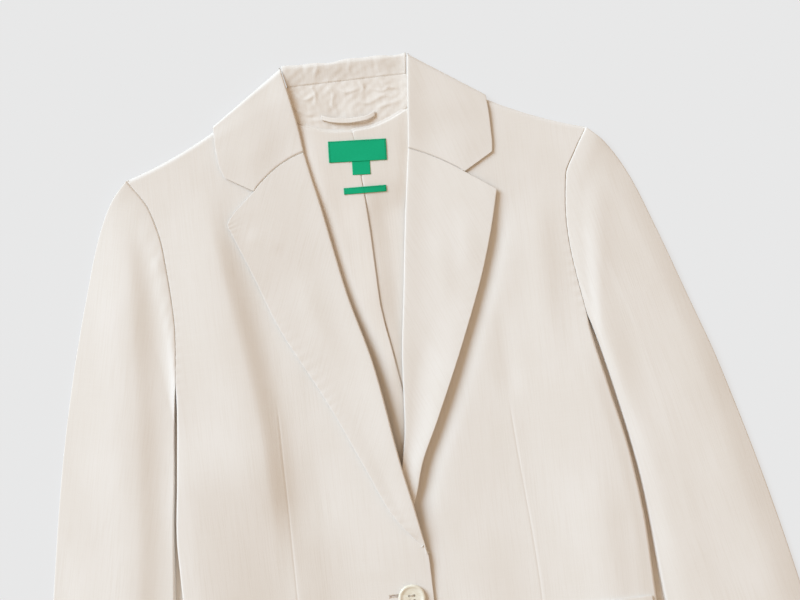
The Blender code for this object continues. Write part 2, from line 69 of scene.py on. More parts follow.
CLOTH = 1.1                     # one panel
DOUBLE = 1.6                    # cloth and facing together
CENTRE_FRONT = 4.7
OVERLAP = 18.5                  # from the centre front to either front edge
BREAK_Y = -371.0                # where the lapels start
NECK_HALF = 77.0
NECK_DEPTH = 36.0
STAND_TOP = 43.0                # seam between the stand and the fall of the collar
COLLAR_TOP = 61.0
FALL_EDGE = -15.0
FALL_EDGE_SIDE = 18.0
LEAF_END_X = 116.0
SHOULDER_Y = -19.0
UNDERARM_LEFT = -196.0
UNDERARM_RIGHT = -175.0
SIDE_TURN = 1.6                 # how far in a folded side starts to round down
ROLL = 1.1                      # radius of the roll of a lapel
SEWN = 1.1                      # how far in a sewn edge starts to round down
FOLD_LOW = 0.25                 # height of the upper side where a fold meets the table

# %% [markdown]
# The outlines are short tables.  Every row of a table is one line across a piece,
# from its inner edge to its outer edge, so two pieces that meet along a seam are
# given the same places there.

# %% Outlines of the fronts and backs
# Armholes and sides, from the shoulder point down to the hem: y, x.
EDGE_LEFT = [
    (SHOULDER_Y, -194), (-47, -177), (-82, -169.5), (-140, -167), (UNDERARM_LEFT, -172),
    (-275, -180.5), (-334, -187), (-385, -187.5), (-450, -193), (-530, -201), (-600, -209),
    (-662, -214)]
EDGE_RIGHT = [
    (SHOULDER_Y, 197), (-38, 185), (-58, 175), (-101, 171), (UNDERARM_RIGHT, 179), (-233, 190),
    (-300, 203), (-363, 209), (-423, 210.5), (-500, 216), (-585, 226), (-662, 234)]
# Fronts, from the shoulder down: neck, roll line or front edge x, y, and side y.
FRONT_LEFT = [
    (-77, 36, -19), (-68, 14, -47), (-52, -10, -82), (-38, -34, -110), (-31, -64, -140),
    (-20, -132, -196), (-6.5, -188, -238), (9, -286, -289), (16, -323, -326),
    (23.2, -371, -368), (23.2, -440, -440), (22, -535, -530), (18, -570, -562),
    (8, -602, -592), (-9, -630, -617), (-34, -650, -638), (-66, -660, -658)]
FRONT_RIGHT = [
    (77, 36, -19), (64, 12, -38), (51, -14, -58), (45, -34, -80), (40, -56, -101),
    (32, -111, -142), (24, -165, -175), (17, -217, -223), (15, -255, -260), (9, -286, -289),
    (-3, -330, -333), (-13.8, -371, -371), (-13.8, -440, -440), (-12.6, -535, -530),
    (-8.6, -570, -562), (1.4, -602, -592), (18.4, -630, -617), (43.4, -650, -638),
    (75.4, -660, -658)]
# Centre-back seam: y, x.  Rows of the backs: y at the seam, on the left, on the right.
CENTRE_BACK = [
    (0, 0), (-30, 3), (-89, 6), (-143, 7), (-231, 18), (-320, 19), (-385, 18), (-530, 15),
    (-668, 12)]
BACK_ROWS = [
    (0, -60, -58), (-30, -82, -80), (-60, -112, -101), (-89, -140, -135), (-116, -168, -160),
    (-143, -196, -175), (-187, -236, -212), (-231, -275, -240), (-275, -305, -285),
    (-320, -334, -325), (-385, -385, -385), (-455, -455, -455), (-530, -530, -530),
    (-600, -600, -600), (-668, -662, -662)]
print("outlines:", len(FRONT_LEFT) + len(FRONT_RIGHT), "rows in the fronts,",
      len(BACK_ROWS), "in the back")

# %% [markdown]
# A lapel and a collar leaf meet at the notch.  Above it lies the leaf and below it
# the lapel, and both run on to the fold where the collar rolls over.

# %% Outlines of the lapels and collar
# Lapels, from the break up to the gorge seam: fold x, y and outer edge x, y.
LAPEL_LEFT = [
    (22.5, -362, 18.5, -355), (16, -323, -4, -325), (9, -286, -22, -283),
    (-4, -200, -48, -223), (-20, -134, -81, -156), (-27, -95, -98, -108),
    (-33, -60, -110, -76), (-38, -35, -113, -67), (-42, -13.4, -106.5, -57.5)]
LAPEL_RIGHT = [
    (-8, -352, -2, -346), (1, -318, 17, -316), (9, -286, 27, -285),
    (15, -255, 43, -252), (20, -195, 76, -180), (27, -145, 97, -128),
    (36, -80, 109, -90), (45.5, -20.4, 116, -63)]
NOTCH_LEFT = (-88, -41)
NOTCH_RIGHT = (91, -45)
# Collar leaves, from the shoulder fold down to the gorge seam, in the same columns.
LEAF_LEFT = [(-54, 60, -116, 18), (-48, 30, -116, 2), (-44, 6, -115, -14), (-42, -13, -111, -27)]
LEAF_RIGHT = [(54, 60, 116, 18), (50.5, 28, 117, -2), (48, 2, 117, -20), (45.5, -20, 116, -31)]
print("outlines: 2 lapels and 2 collar leaves, notches at", NOTCH_LEFT, "and", NOTCH_RIGHT)

# %% [markdown]
# The sleeves leave the body at an angle, so their rows slant.  A pocket flap is
# nearly a rectangle, with its two lower corners rounded off.

# %% Outlines of the sleeves and flaps
# Sleeves, from the armhole to the cuff: outer x, y, inner x, y, and how much of
# the armhole's curve is left.
SLEEVE_LEFT = [
    (-194, -19, -172, -196, 1.0), (-209, -36, -175, -214, 0.8), (-222, -62, -178, -236, 0.5),
    (-240, -116, -182, -272, 0.2), (-258, -178, -187, -312, 0.05), (-276, -252, -191, -352, 0.0),
    (-299, -375, -199, -430, 0.0), (-318, -490, -208, -520, 0.0), (-334, -592, -218, -607, 0.0)]
SLEEVE_RIGHT = [
    (197, -19, 179, -175, 1.0), (211, -33, 184.5, -195, 0.8), (228, -62, 190, -220, 0.5),
    (246, -110, 196.5, -252, 0.2), (266, -170, 203, -288, 0.05), (285, -228, 208.5, -326, 0.0),
    (321, -368, 215, -412, 0.0), (344, -485, 226, -510, 0.0), (361, -590, 239, -606, 0.0)]
# Pocket flaps, from the seam down to the rounded bottom.
FLAP_LEFT = [
    (-54, -418, -185, -418), (-54, -448, -186, -448), (-56, -462, -184, -462),
    (-61, -468, -179, -468), (-68, -470, -172, -470)]
FLAP_RIGHT = [
    (75, -418, 206, -418), (75, -448, 207, -448), (77, -462, 205, -462),
    (82, -468, 200, -468), (89, -470, 193, -470)]
print("outlines: 2 sleeves and 2 pocket flaps")

# %% [markdown]
# Everything is read from smooth curves.  A cubic through the rows would swing
# past them, so the slope at each row is the harmonic mean of its neighbours'
# slopes: the curve then never overshoots its table.  numpy reads a whole grid of
# points at once, which keeps panels of twenty thousand points quick.

# %% Curves
def ease(value):
    """0 below 0, 1 above 1, and a soft step between."""
    value = np.clip(value, 0.0, 1.0)
    return value * value * (3.0 - 2.0 * value)


def bump(value):
    """1 at 0, falling away softly on both sides."""
    return np.exp(-np.square(value))


def blend(a, b, amount):
    return a + (b - a) * amount


def smooth(places, values):
    """A curve through the values that never overshoots them."""
    p, v = np.array(places, float), np.array(values, float)
    steps = np.diff(v) / np.diff(p)
    same_way = steps[:-1] * steps[1:] > 0
    total = np.where(same_way, steps[:-1] + steps[1:], 1.0)
    inner = np.where(same_way, 2 * steps[:-1] * steps[1:] / total, 0.0)
    tangent = np.concatenate([steps[:1], inner, steps[-1:]])

    def at(place):
        place = np.clip(place, p[0], p[-1])
        i = np.clip(np.searchsorted(p, place, side="right") - 1, 0, len(p) - 2)
        span = p[i + 1] - p[i]
        t = (place - p[i]) / span
        start, end = 2 * t**3 - 3 * t**2 + 1, 3 * t**2 - 2 * t**3
        leave, arrive = t**3 - 2 * t**2 + t, t**3 - t**2
        return (start * v[i] + end * v[i + 1]
                + span * (leave * tangent[i] + arrive * tangent[i + 1]))
    return at


def down_curve(pairs):
    """x as a function of y along a line that runs down the garment, from (y, x) pairs."""
    read = smooth([-y for y, _x in pairs], [x for _y, x in pairs])
    return lambda y: read(-np.asarray(y, float))


def line_of(rows, first, last):
    """(y, x) pairs of one edge of a table whose rows run up or down."""
    pairs = sorted({(row[last], row[first]) for row in rows}, reverse=True)
    return [pairs[0]] + [b for a, b in zip(pairs, pairs[1:]) if a[0] - b[0] > 1.0]


edge_left = down_curve(EDGE_LEFT)
edge_right = down_curve(EDGE_RIGHT)
seam_x = down_curve(CENTRE_BACK)
front_edge = CENTRE_FRONT + OVERLAP
roll_left = down_curve(line_of(LEAF_LEFT[:3] + LAPEL_LEFT, 0, 1)
                       + [(-371, front_edge), (-440, front_edge), (-668, front_edge)])
roll_right = down_curve(line_of(LEAF_RIGHT[:3] + LAPEL_RIGHT, 0, 1)
                        + [(-371, front_edge - 2 * OVERLAP), (-668, front_edge - 2 * OVERLAP)])
tip_left = down_curve(line_of(LAPEL_LEFT, 2, 3))
tip_right = down_curve(line_of(LAPEL_RIGHT, 2, 3))
print("left roll line at the chest:", float(roll_left(-134)), "mm")

# %% [markdown]
# A panel is a grid: rows of points from one edge to the other.  Points crowd near
# the edges, where the cloth turns over a small radius, and are wide apart in the
# middle.  The lists below say how far in from an edge its first points lie.

# %% Spacing
FINE = (0.0, 0.08, 0.3, 0.65, 1.1, 1.8)
TURNED = (0.0, 0.1, 0.4, 0.9, 1.7, 2.8, 4.2, 6.0, 8.2, 11.0)
WIDE_TURN = (0.0, 0.12, 0.5, 1.2, 2.2, 3.6, 5.4, 7.8, 11.0, 15.0)
WRAP = np.linspace(-1.35, math.pi / 2, 12)


def stops(length, step_count, near, far, middle=None):
    """Distances along a length, crowded as `near` and `far` say, and round `middle`."""
    squeeze = min(1.0, 0.45 * length / max(near[-1], far[-1], 0.1))
    start = np.array(near) * squeeze
    end = length - np.array(far[::-1]) * squeeze
    if middle is None:
        return np.concatenate([start, np.linspace(start[-1], end[0], step_count + 2)[1:-1], end])
    place, share = middle
    place = min(max(place, start[-1] + 6.0), end[0] - 6.0)
    close = place + np.array([-4, -2.4, -1.5, -0.9, -0.4, 0, 0.4, 0.9, 1.5, 2.4, 4])
    before = max(int(step_count * share), 2)
    return np.concatenate([
        start, np.linspace(start[-1], close[0], before + 2)[1:-1], close,
        np.linspace(close[-1], end[0], step_count - before + 2)[1:-1], end])
print("stops on a 60 mm edge:", len(stops(60.0, 10, FINE, FINE)))

# %% [markdown]
# A grid remembers how far each point is from the four edges, so a height function
# can round an edge or run a row of puckers along it.  It can also start with a
# roll, which is how a lapel turns over without a crease.

# %% Grids
class Grid:
    """Points of a panel, between two edges that a table gives row by row."""

    def __init__(self, rows, size, top=FINE, bottom=FINE, inner=FINE, outer=FINE, wrap=False,
                 edge=None, inset=None, line=None):
        table = np.array(rows, float)
        gone = np.maximum(np.hypot(*np.diff(table[:, :2], axis=0).T),
                          np.hypot(*np.diff(table[:, 2:4], axis=0).T))
        places = np.concatenate([[0.0], np.cumsum(np.maximum(gone, 1.0))])
        self.length = places[-1]
        self.s = stops(self.length, size[0], top, bottom)
        columns = [smooth(places, column)(self.s) for column in table.T]
        x0, y0, x1, y1 = columns[:4]
        self.extra = columns[4:]
        if edge:
            x1 = edge(y1)
        if inset:
            width = np.hypot(x1 - x0, y1 - y0)
            share = inset(y0) / width
            x0, y0 = blend(x0, x1, share), blend(y0, y1, share)
        self.ends = (x0, y0, x1, y1)
        width = np.hypot(x1 - x0, y1 - y0)
        lines = []
        for i, wide in enumerate(width):
            if wrap:
                reach = min(ROLL, 0.4 * wide)
                flat = reach + stops(wide - reach, size[1], (0.0,), outer)
                lines.append(np.concatenate([reach * (1 - np.cos(WRAP)), flat[1:]]))
                continue
            middle = None
            if line:
                share = 0.3
                for _ in range(3):
                    share = (line(blend(y0[i], y1[i], share)) - x0[i]) / (x1[i] - x0[i])
                middle = (share * wide, 0.45)
            lines.append(stops(wide, size[1], inner, outer, middle))
        self.d = np.array(lines)
        self.e = width[:, None] - self.d
        self.f = self.d / width[:, None]
        self.x = blend(x0[:, None], x1[:, None], self.f)
        self.y = blend(y0[:, None], y1[:, None], self.f)
        self.s = np.repeat(self.s[:, None], self.x.shape[1], axis=1)
        self.to_end = self.length - self.s
        self.angle = np.full(self.d.shape[1], math.pi / 2)
        if wrap:
            self.angle[:len(WRAP)] = WRAP

    def bend(self, corner, at, bow, reach=45.0):
        """Pulls the last row out to a corner at a place along it, with a bow before it."""
        x0, y0, x1, y1 = [end[-1] for end in self.ends]
        fade = ease(1 - self.to_end / reach)
        tent = np.minimum(self.f / at, (1 - self.f) / (1 - at)) * fade
        self.x = self.x + (corner[0] - blend(x0, x1, at)) * tent
        self.y = self.y + (corner[1] - blend(y0, y1, at)) * tent
        before = np.clip(self.f / at, 0, 1)
        self.y = self.y + 4 * bow * before * (1 - before) * fade

    def rolled(self, top, low):
        """Heights that follow `top` and curl round the inner edge down to `low`."""
        return (top + low) / 2 + (top - low) / 2 * np.sin(self.angle)[None, :]

    def points(self, z):
        return np.stack([self.x, self.y, z], axis=-1)
print("grids: points, bend and roll")

# %% [markdown]
# Cloth never ends in a square corner.  At a fold it rounds down to the table, at a
# sewn edge it drops a little, and at a seam it runs on below its neighbour, as the
# seam allowance does, so that no gap opens between the two.

# %% Edges
def turned(distance, reach):
    """How high a rounded edge has come at a distance in from it: 0 to 1."""
    t = 1 - np.clip(distance / reach, 0.0, 1.0)
    return np.sqrt(np.maximum(1 - t * t, 0.0))


def sewn(distance):
    """The small drop of a sewn or turned-in edge."""
    return -0.24 * (1 - turned(distance, SEWN))


def tucked(distance):
    """Seam allowance: how far a point this near a seam moves out past it, and down."""
    reach = np.interp(distance, FINE, (2.2, 1.0, 0.25, 0.12, 0.04, 0.0))
    drop = np.interp(distance, FINE, (1.5, 1.45, 1.2, 0.55, 0.1, 0.0))
    return reach, drop
print("seam allowance:", tucked(0.0)[0], "mm wide")


# %% [markdown]
# A thin shell has an upper side, a lower side pushed in along the normals, and a
# rim between them.  Solidify would do the same, but here the lower side is only
# one line of numpy, and the UV map can be laid on in the same step.  The map runs
# with the grain of each piece in metres, so the weave follows the cut.

# %% Shells
made = {}


def add_object(name, data):
    thing = bpy.data.objects.new(name, data)
    bpy.context.scene.collection.objects.link(thing)
    return thing


def shell(name, points, thick, grain=0.0, judge=None):
    """A closed thin shell below a grid of points (mm), with its map along the grain.

    `judge` is the number of first rows that face up, for a piece that turns under."""
    down, over = np.gradient(points, axis=0), np.gradient(points, axis=1)
    normal = np.cross(down, over)
    rows, columns = points.shape[:2]
    if normal[:judge, :, 2].mean() < 0:
        points, normal = points[:, ::-1], -normal[:, ::-1]
    normal /= np.maximum(np.linalg.norm(normal, axis=-1, keepdims=True), 1e-9)
    under = points - normal * thick
    places = np.concatenate([points.reshape(-1, 3), under.reshape(-1, 3)])
    index = np.arange(rows * columns).reshape(rows, columns)
    a, b, c, d = index[:-1, :-1], index[1:, :-1], index[1:, 1:], index[:-1, 1:]
    upper = np.stack([a, b, c, d], axis=-1).reshape(-1, 4)
    lower = upper[:, ::-1] + rows * columns
    rim = np.concatenate([index[:, 0], index[-1, 1:], index[-2::-1, -1], index[0, -2:0:-1]])
    after = np.roll(rim, -1)
    edge = np.stack([rim, rim + rows * columns, after + rows * columns, after], axis=-1)
    faces = np.concatenate([upper, lower, edge])
    mesh = bpy.data.meshes.new(name + "_cloth")
    mesh.from_pydata(((places + SHIFT) * MM).tolist(), [], faces.tolist())
    mesh.validate()
    turn = math.radians(grain)
    across = places[:, 0] * math.cos(turn) + places[:, 1] * math.sin(turn)
    along = places[:, 1] * math.cos(turn) - places[:, 0] * math.sin(turn)
    corner = np.empty(len(mesh.loops), np.int32)
    mesh.loops.foreach_get("vertex_index", corner)
    uv = np.stack([across, along], axis=-1)[corner] * MM
    layer = mesh.uv_layers.new(name="Cloth")
    layer.data.foreach_set("uv", uv.astype(np.float32).ravel())
    mesh.polygons.foreach_set("use_smooth", [True] * len(mesh.polygons))
    made[name] = add_object(name + "_cloth", mesh)
    print(f"{name}_cloth: {2 * len(mesh.polygons)} triangles")


# %% [markdown]
# Folds, ridges and troughs are placed one by one.  Each is a path with a width on
# either side and a height.  A narrow side gives the steep flank that light turns
# into a dark band, and a wide side gives the slow flank that only glows.

# %% Folds
def path_through(points, count=28):
    """A smooth path through a few points."""
    points = np.array(points, float)
    places = np.concatenate([[0.0], np.cumsum(np.hypot(*np.diff(points, axis=0).T))])
    at = np.linspace(0.0, places[-1], count)
    return np.stack([smooth(places, points[:, 0])(at), smooth(places, points[:, 1])(at)], axis=1)


def beside(path, x, y):
    """Distance to the right of a path that runs down, and how far along it: 0 to 1."""
    best = np.full(x.shape, 1e9)
    right, share, gone = np.zeros(x.shape), np.zeros(x.shape), 0.0
    total = np.hypot(*np.diff(path, axis=0).T).sum()
    for (x0, y0), (x1, y1) in zip(path, path[1:]):
        dx, dy = x1 - x0, y1 - y0
        length = math.hypot(dx, dy)
        t = np.clip(((x - x0) * dx + (y - y0) * dy) / length**2, 0.0, 1.0)
        away = np.hypot(x - x0 - t * dx, y - y0 - t * dy)
        near = away < best
        side = np.where((x - x0) * dy - (y - y0) * dx < 0, 1.0, -1.0)
        best = np.where(near, away, best)
        right = np.where(near, away * side, right)
        share = np.where(near, (gone + t * length) / total, share)
        gone += length
    return right, share


def fold(x, y, points, left, right, height, fade=(0.2, 0.2)):
    """A ridge, or a trough when the height is negative, that fades at both ends."""
    path = path_through(points)
    near = ((x > path[:, 0].min() - 3 * left) & (x < path[:, 0].max() + 3 * right)
            & (y > path[:, 1].min() - 3 * left) & (y < path[:, 1].max() + 3 * left))
    total = np.zeros(x.shape)
    if not near.any():
        return total
    off, share = beside(path, x[near], y[near])
    ends = ease(share / fade[0]) * ease((1 - share) / fade[1])
    total[near] = height * ends * bump(off / np.where(off > 0, right, left))
    return total


def all_folds(x, y, table):
    return sum(fold(x, y, *row) for row in table)


def ripple(x, y, length, amount, seed):
    """Slow uneven waves, of about the given length, like cloth that was handled."""
    random = np.random.default_rng(seed)
    total = np.zeros(x.shape)
    for _ in range(7):
        angle, phase = random.uniform(0, math.tau, 2)
        wave = length * random.uniform(0.7, 1.6)
        total += np.sin(math.tau * (x * math.cos(angle) + y * math.sin(angle)) / wave + phase)
    return amount * total / 7


print("folds: a ridge of 2 mm is", fold(np.zeros(1), np.zeros(1), [(0, 9), (0, 0), (0, -9)], 5, 5, 2)[0])

# %% [markdown]
# The left front has one long fold that hangs from the shoulder past the chest, and
# soft ones beside it.  The right front is calmer, with short ones at the armhole,
# below the lapel and over the pocket.

# %% Folds of the fronts
# Path points, width to the left, width to the right, height, fades at the ends.
FOLDS_LEFT = [
    ([(-133, -20), (-128, -79), (-121, -131), (-112, -192), (-106, -262), (-106, -330), (-108, -420)],
     42, 15, 6.6, (0.22, 0.4)),
    ([(-160, -225), (-166, -330), (-170, -440)], 40, 44, 4.6, (0.3, 0.3)),
    ([(-88, -300), (-84, -360), (-82, -430)], 14, 26, 2.2, (0.4, 0.4)),
    ([(-75, -150), (-66, -230), (-58, -290)], 18, 16, 0.7, (0.4, 0.4)),
    ([(-178, -86), (-172, -104)], 3.5, 3.5, 0.8, (0.3, 0.4)),
    ([(6, -372), (14, -377), (23, -380)], 3.0, 3.0, -0.9, (0.5, 0.1)),
    ([(-40, -366), (-24, -372), (-8, -376)], 4.0, 5.0, 0.5, (0.4, 0.4)),
    ([(-70, -500), (-90, -570), (-100, -640)], 26, 18, 1.3, (0.3, 0.3)),
]
FOLDS_RIGHT = [
    ([(150, -60), (148, -120), (146, -170), (150, -230)], 14, 12, 1.4, (0.3, 0.4)),
    ([(106, -150), (108, -200), (109, -250)], 9, 9, -0.8, (0.3, 0.3)),
    ([(60, -330), (62, -400), (66, -470)], 20, 22, 1.0, (0.4, 0.4)),
    ([(168, -300), (172, -380), (176, -460)], 20, 14, 1.4, (0.3, 0.4)),
    ([(120, -500), (130, -570), (134, -640)], 24, 18, 1.2, (0.3, 0.3)),
]
print("folds:", len(FOLDS_LEFT) + len(FOLDS_RIGHT), "on the fronts")


# %% [markdown]
# The next functions are the build-up of the blazer.  Both fronts lie on the back
# and swell a little over the chest and hips.  A dart takes cloth in below the
# chest, and shows as a fine groove with the cloth a little full beside it.

# %% Heights of a front
DART_LEFT = down_curve([(-150, -88), (-221, -89), (-381, -91), (-418, -92)])
DART_RIGHT = down_curve([(-150, 104), (-244, 106), (-412, 114), (-418, 114)])


def plump(x, y):
    """Upper side of a front where no fold or edge lifts it."""
    body = 6.2 - 0.5 * ease((y + 60) / 70)
    body = body + (1.0 + 6.0 * ease((-90 - y) / 200)) * np.clip((-62 - x) / 110, 0.0, 1.0)
    body = body + 4.6 * ease((x - 100) / 85) * ease((-150 - y) / 90)
    body = body - 1.2 * ease(1 - (edge_right(y) - x) / 14) * ease((-190 - y) / 60)
    return blend(body, 5.0, 0.75 * ease((-575 - y) / 90))


def dart(x, y, line, top, bottom):
    """The groove of a dart's seam, with the cloth a little full beside it."""
    off = x - line(y)
    ends = ease((top - y) / 26) * ease((y - bottom) / 4)
    return ends * (0.15 * bump(off / 7.0) - 0.24 * bump(off / 0.8))


print("a front over the hip is", float(plump(np.array([150.0]), np.array([-300.0]))[0]), "mm high")

# %% [markdown]
# The right front lies below, with a hollow along its lapel where the lapel's edge
# stands free.  The left front climbs over it at the middle.  Each lapel floats
# above its front on a springy roll.

# %% Heights of the fronts and lapels
def right_level(x, y):
    """Right front without the hollow beside its lapel."""
    d = x - roll_right(y)
    body = plump(x, y) + all_folds(x, y, FOLDS_RIGHT) + ripple(x, y, 90, 0.45, 4)
    body = body + dart(x, y, DART_RIGHT, -236, -418)
    return blend(4.0, body, ease((d + 6) / 55))


def right_front(x, y):
    hollow = bump((x - tip_right(y) - 4) / 11) * ease((-60 - y) / 50) * ease((y + 372) / 50)
    return right_level(x, y) - 2.6 * hollow


def right_lapel_rise(x, y):
    """How far the right lapel's upper side is above the right front."""
    d = x - roll_right(y)
    t = d / np.maximum(tip_right(y) - roll_right(y), 8.0)
    free = ease((y + 342) / 60)
    low = ease((-150 - y) / 90)
    lift = (1.4 + 2.2 * low) * ease((t - 0.45 + 0.3 * low) / (0.55 + 0.3 * low))
    lift = lift * ease((-28 - y) / 40)
    return 2.3 + free * ((1.2 + 1.1 * ease((-140 - y) / 100)) * bump(d / 13) + lift)


def left_front(x, y):
    d = roll_left(y) - x
    body = plump(x, y) + all_folds(x, y, FOLDS_LEFT) + ripple(x, y, 95, 0.45, 9)
    body = body + dart(x, y, DART_LEFT, -214, -418)
    alone = blend(4.0, body, ease((d + 6) / 55))
    crossed = blend(body, blend(8.5, 10.8, ease((y + 398) / 50)), ease((90 - d) / 90))
    return blend(alone, crossed, ease((-100 - y) / 165))


def left_lapel_rise(x, y):
    d = roll_left(y) - x
    t = d / np.maximum(roll_left(y) - tip_left(y), 8.0)
    free = ease((y + 362) / 60)
    lift = 0.8 * ease((t - 0.55) / 0.45) * ease((-28 - y) / 40)
    return 2.3 + free * ((0.9 + 0.6 * ease((-140 - y) / 100)) * bump(d / 13) + lift)


print("left front at its front edge:", float(left_front(np.array([20.0]), np.array([-420.0]))[0]))

# %% [markdown]
# The back lies on the table and, at the neck, on the fall of the collar.  In the
# neck opening its left half stands up a little at the centre seam.

# %% Heights of the back and the button
def back_under(x, y):
    """Underside of the back, on the table or up on the collar's fall."""
    fall = blend(FALL_EDGE, FALL_EDGE_SIDE, np.square(x / LEAF_END_X))
    return 1.7 * ease((y - fall + 62) / 36)


def back_top(x, y):
    """Upper side of the back, with the relief that shows in the neck opening."""
    flat = back_under(x, y) + CLOTH + 0.2
    opening = (ease((x - roll_left(y) + 4) / 14) * ease((roll_right(y) + 6 - x) / 14)
               * ease((y + 310) / 40))
    off = x - seam_x(y)
    below = ease((-44 - y) / 30)
    ramp = np.maximum(seam_x(y) - roll_left(y), 12.0)
    left = 2.2 + 1.7 * below * ease(1 + off / np.minimum(ramp, 24.0))
    right = 2.2 - 2.1 * below * ease(off / 17.0)
    relief = np.where(off < 0, left, right)
    return flat + opening * (relief + 0.5 * ripple(x, y, 45, 1.0, 2)) + 0.1


BUTTON_FRONT = float(left_front(np.array([BUTTON[0]]), np.array([BUTTON[1]]))[0])
BUTTON_BASE = BUTTON_FRONT + 0.9        # the button stands off the cloth on its thread
print("height of the front at the button:", BUTTON_FRONT)

# %% [markdown]
# Of the two halves of the back only the part in the neck opening shows, where the
# raised left half throws a soft shade to the right.  The right half's edge runs on
# below the left half as a seam allowance.

# %% Backs
def back_half(side, edge, far):
    rows = []
    for i in range(5):
        x = NECK_HALF * (1 - i / 5)
        y1 = blend(SHOULDER_Y, BACK_ROWS[0][far], i / 5)
        rows.append((side * x, NECK_DEPTH * (x / NECK_HALF) ** 2 - 0.3, 0.0, y1))
    rows += [(float(seam_x(row[0])) + side * 0.15, row[0] - 0.3, 0.0, row[far]) for row in BACK_ROWS]
    grid = Grid(rows, (150, 52), edge=lambda y: edge(y) - side * 2.0)
    grid.y = grid.y - 20 * grid.f * (1 - grid.f) * (1 - ease(grid.s / 60)) - 1.0 * (grid.s < 1)
    z = back_top(grid.x, grid.y) + sewn(grid.e) + sewn(grid.to_end)
    neck = ease((grid.y[:, :1] + 1.2) / 1.0)
    reach, drop = tucked(grid.d)
    reach, drop = [v * ease((grid.y + 330) / 15) for v in (reach, drop)]
    grid.y = grid.y + reach * neck
    if side < 0:
        z = z + sewn(grid.d) - 0.9 * drop * neck
    else:
        grid.x = grid.x - reach * (1 - neck)
        z = z - blend(0.7, 0.9, neck) * drop
    return grid.points(np.maximum(z, CLOTH + 0.02))


shell("back_left", back_half(-1, edge_left, 1), CLOTH)
shell("back_right", back_half(1, edge_right, 2), CLOTH)

# %% [markdown]
# A front runs from the shoulder to the hem.  Its side is a fold, so it rounds down
# to the table, while its armhole, neck and front edge are sewn edges.  Extra
# columns follow the dart so that its groove is cut into the mesh.

# %% Fronts
def front(rows, edge, height, underarm, line):
    table = [(x, y, float(edge(far)), far) for x, y, far in rows]
    grid = Grid(table, (215, 62), top=TURNED, outer=TURNED, edge=edge, line=line,
                inset=lambda y: 0.01 + 8.0 * ease((y - BREAK_Y - 7) / 32))
    grid.y = grid.y - 20 * grid.f * (1 - grid.f) * (1 - ease(grid.s / 60))
    z = height(grid.x, grid.y)
    folded = ease((underarm - grid.y) / 30)
    z = z + 0.45 * sewn(grid.e) * (1 - folded) + sewn(grid.d) + sewn(grid.to_end)
    z = z + 0.25 * np.sin(grid.y / 1.4) * bump(grid.e / 5) * (1 - folded) * ease((-40 - grid.y) / 30)
    z = z - 0.8 * (1 - ease(grid.s / 35))
    stays = (1 - (1 - turned(grid.e, SIDE_TURN)) * folded) * turned(grid.s, 3.5)
    return grid.points(FOLD_LOW + (z - FOLD_LOW) * stays)


shell("front_left", front(FRONT_LEFT, edge_left, left_front, UNDERARM_LEFT, DART_LEFT), CLOTH)
shell("front_right", front(FRONT_RIGHT, edge_right, right_front, UNDERARM_RIGHT, DART_RIGHT), CLOTH)

# %% [markdown]
# The lapel is the top of the front, turned over.  Its fold isn't a sharp crease
# but a roll, so the grid starts with almost a half circle that curls in below it.
# The outer edge is sewn, and its seam gathers the cloth into small even puckers.

# %% Lapels
def puckers(grid, amount, length, reach, seed):
    """Small even waves along the outer edge, fading inwards."""
    random = np.random.default_rng(seed)
    along = grid.s + 3 * np.sin(grid.s / 23 + random.uniform(0, 6))
    uneven = 0.55 + 0.45 * np.sin(grid.s / 31 + random.uniform(0, 6))
    inside = ease((grid.to_end - 6) / 22)
    return amount * inside * uneven * np.sin(math.tau * along / length) * np.exp(-grid.e / reach)


def lapel(rows, height, rise, notch, bow, gathers, waves):
    grid = Grid(rows, (130, 46), wrap=True)
    grid.bend((notch[0], notch[1] - 0.3), 0.62, bow)
    begins = ease((grid.s - 1) / 22)
    top = height(grid.x, grid.y) + rise(grid.x, grid.y) * begins - 0.4 * (1 - ease(grid.s / 8))
    top = top + puckers(grid, gathers, 8.5, 7.0, 3) + all_folds(grid.x, grid.y, waves)
    top = top + ripple(grid.x, grid.y, 42, 0.35, 11) * ease(grid.d / 20)
    sewn_part = ease((0.6 - grid.f) / 0.04)
    top = top + sewn(grid.e) + sewn(grid.to_end) * (1 - 0.55 * sewn_part) + sewn(grid.s)
    return grid.points(grid.rolled(top, height(grid.x, grid.y) - CLOTH))


LAPEL_FOLDS_LEFT = [
    ([(-100, -78), (-84, -84), (-70, -96)], 5, 7, 0.5, (0.3, 0.3)),
    ([(-60, -110), (-50, -150), (-34, -200)], 10, 10, 0.6, (0.4, 0.4)),
    ([(8, -366), (-4, -352), (-14, -332)], 3, 4, 0.6, (0.3, 0.5)),
]
LAPEL_FOLDS_RIGHT = [
    ([(58, -88), (64, -120), (62, -160)], 8, 8, 0.6, (0.4, 0.4)),
    ([(84, -70), (86, -100), (80, -140)], 7, 9, 0.5, (0.4, 0.4)),
]
shell("lapel_left", lapel(LAPEL_LEFT, left_front, left_lapel_rise, NOTCH_LEFT, 4.5, 0.32,
                          LAPEL_FOLDS_LEFT), DOUBLE, grain=-22)
shell("lapel_right", lapel(LAPEL_RIGHT, right_level, right_lapel_rise, NOTCH_RIGHT, 2.0, 0.12,
                           LAPEL_FOLDS_RIGHT), DOUBLE, grain=22)

# %% [markdown]
# The collar is one cloth: a stand, a fall that rolls over it, and two leaves that
# come round the shoulders to the notches.  At the shoulders a leaf turns under,
# like the shoulder itself.

# %% Collar leaves
def leaf_rise(grid, side):
    crown = (1.8 if side < 0 else 4.4) * (1 - grid.f) * ease(grid.to_end / 45)
    return 2.3 + 1.1 * bump(grid.d / 13) + crown


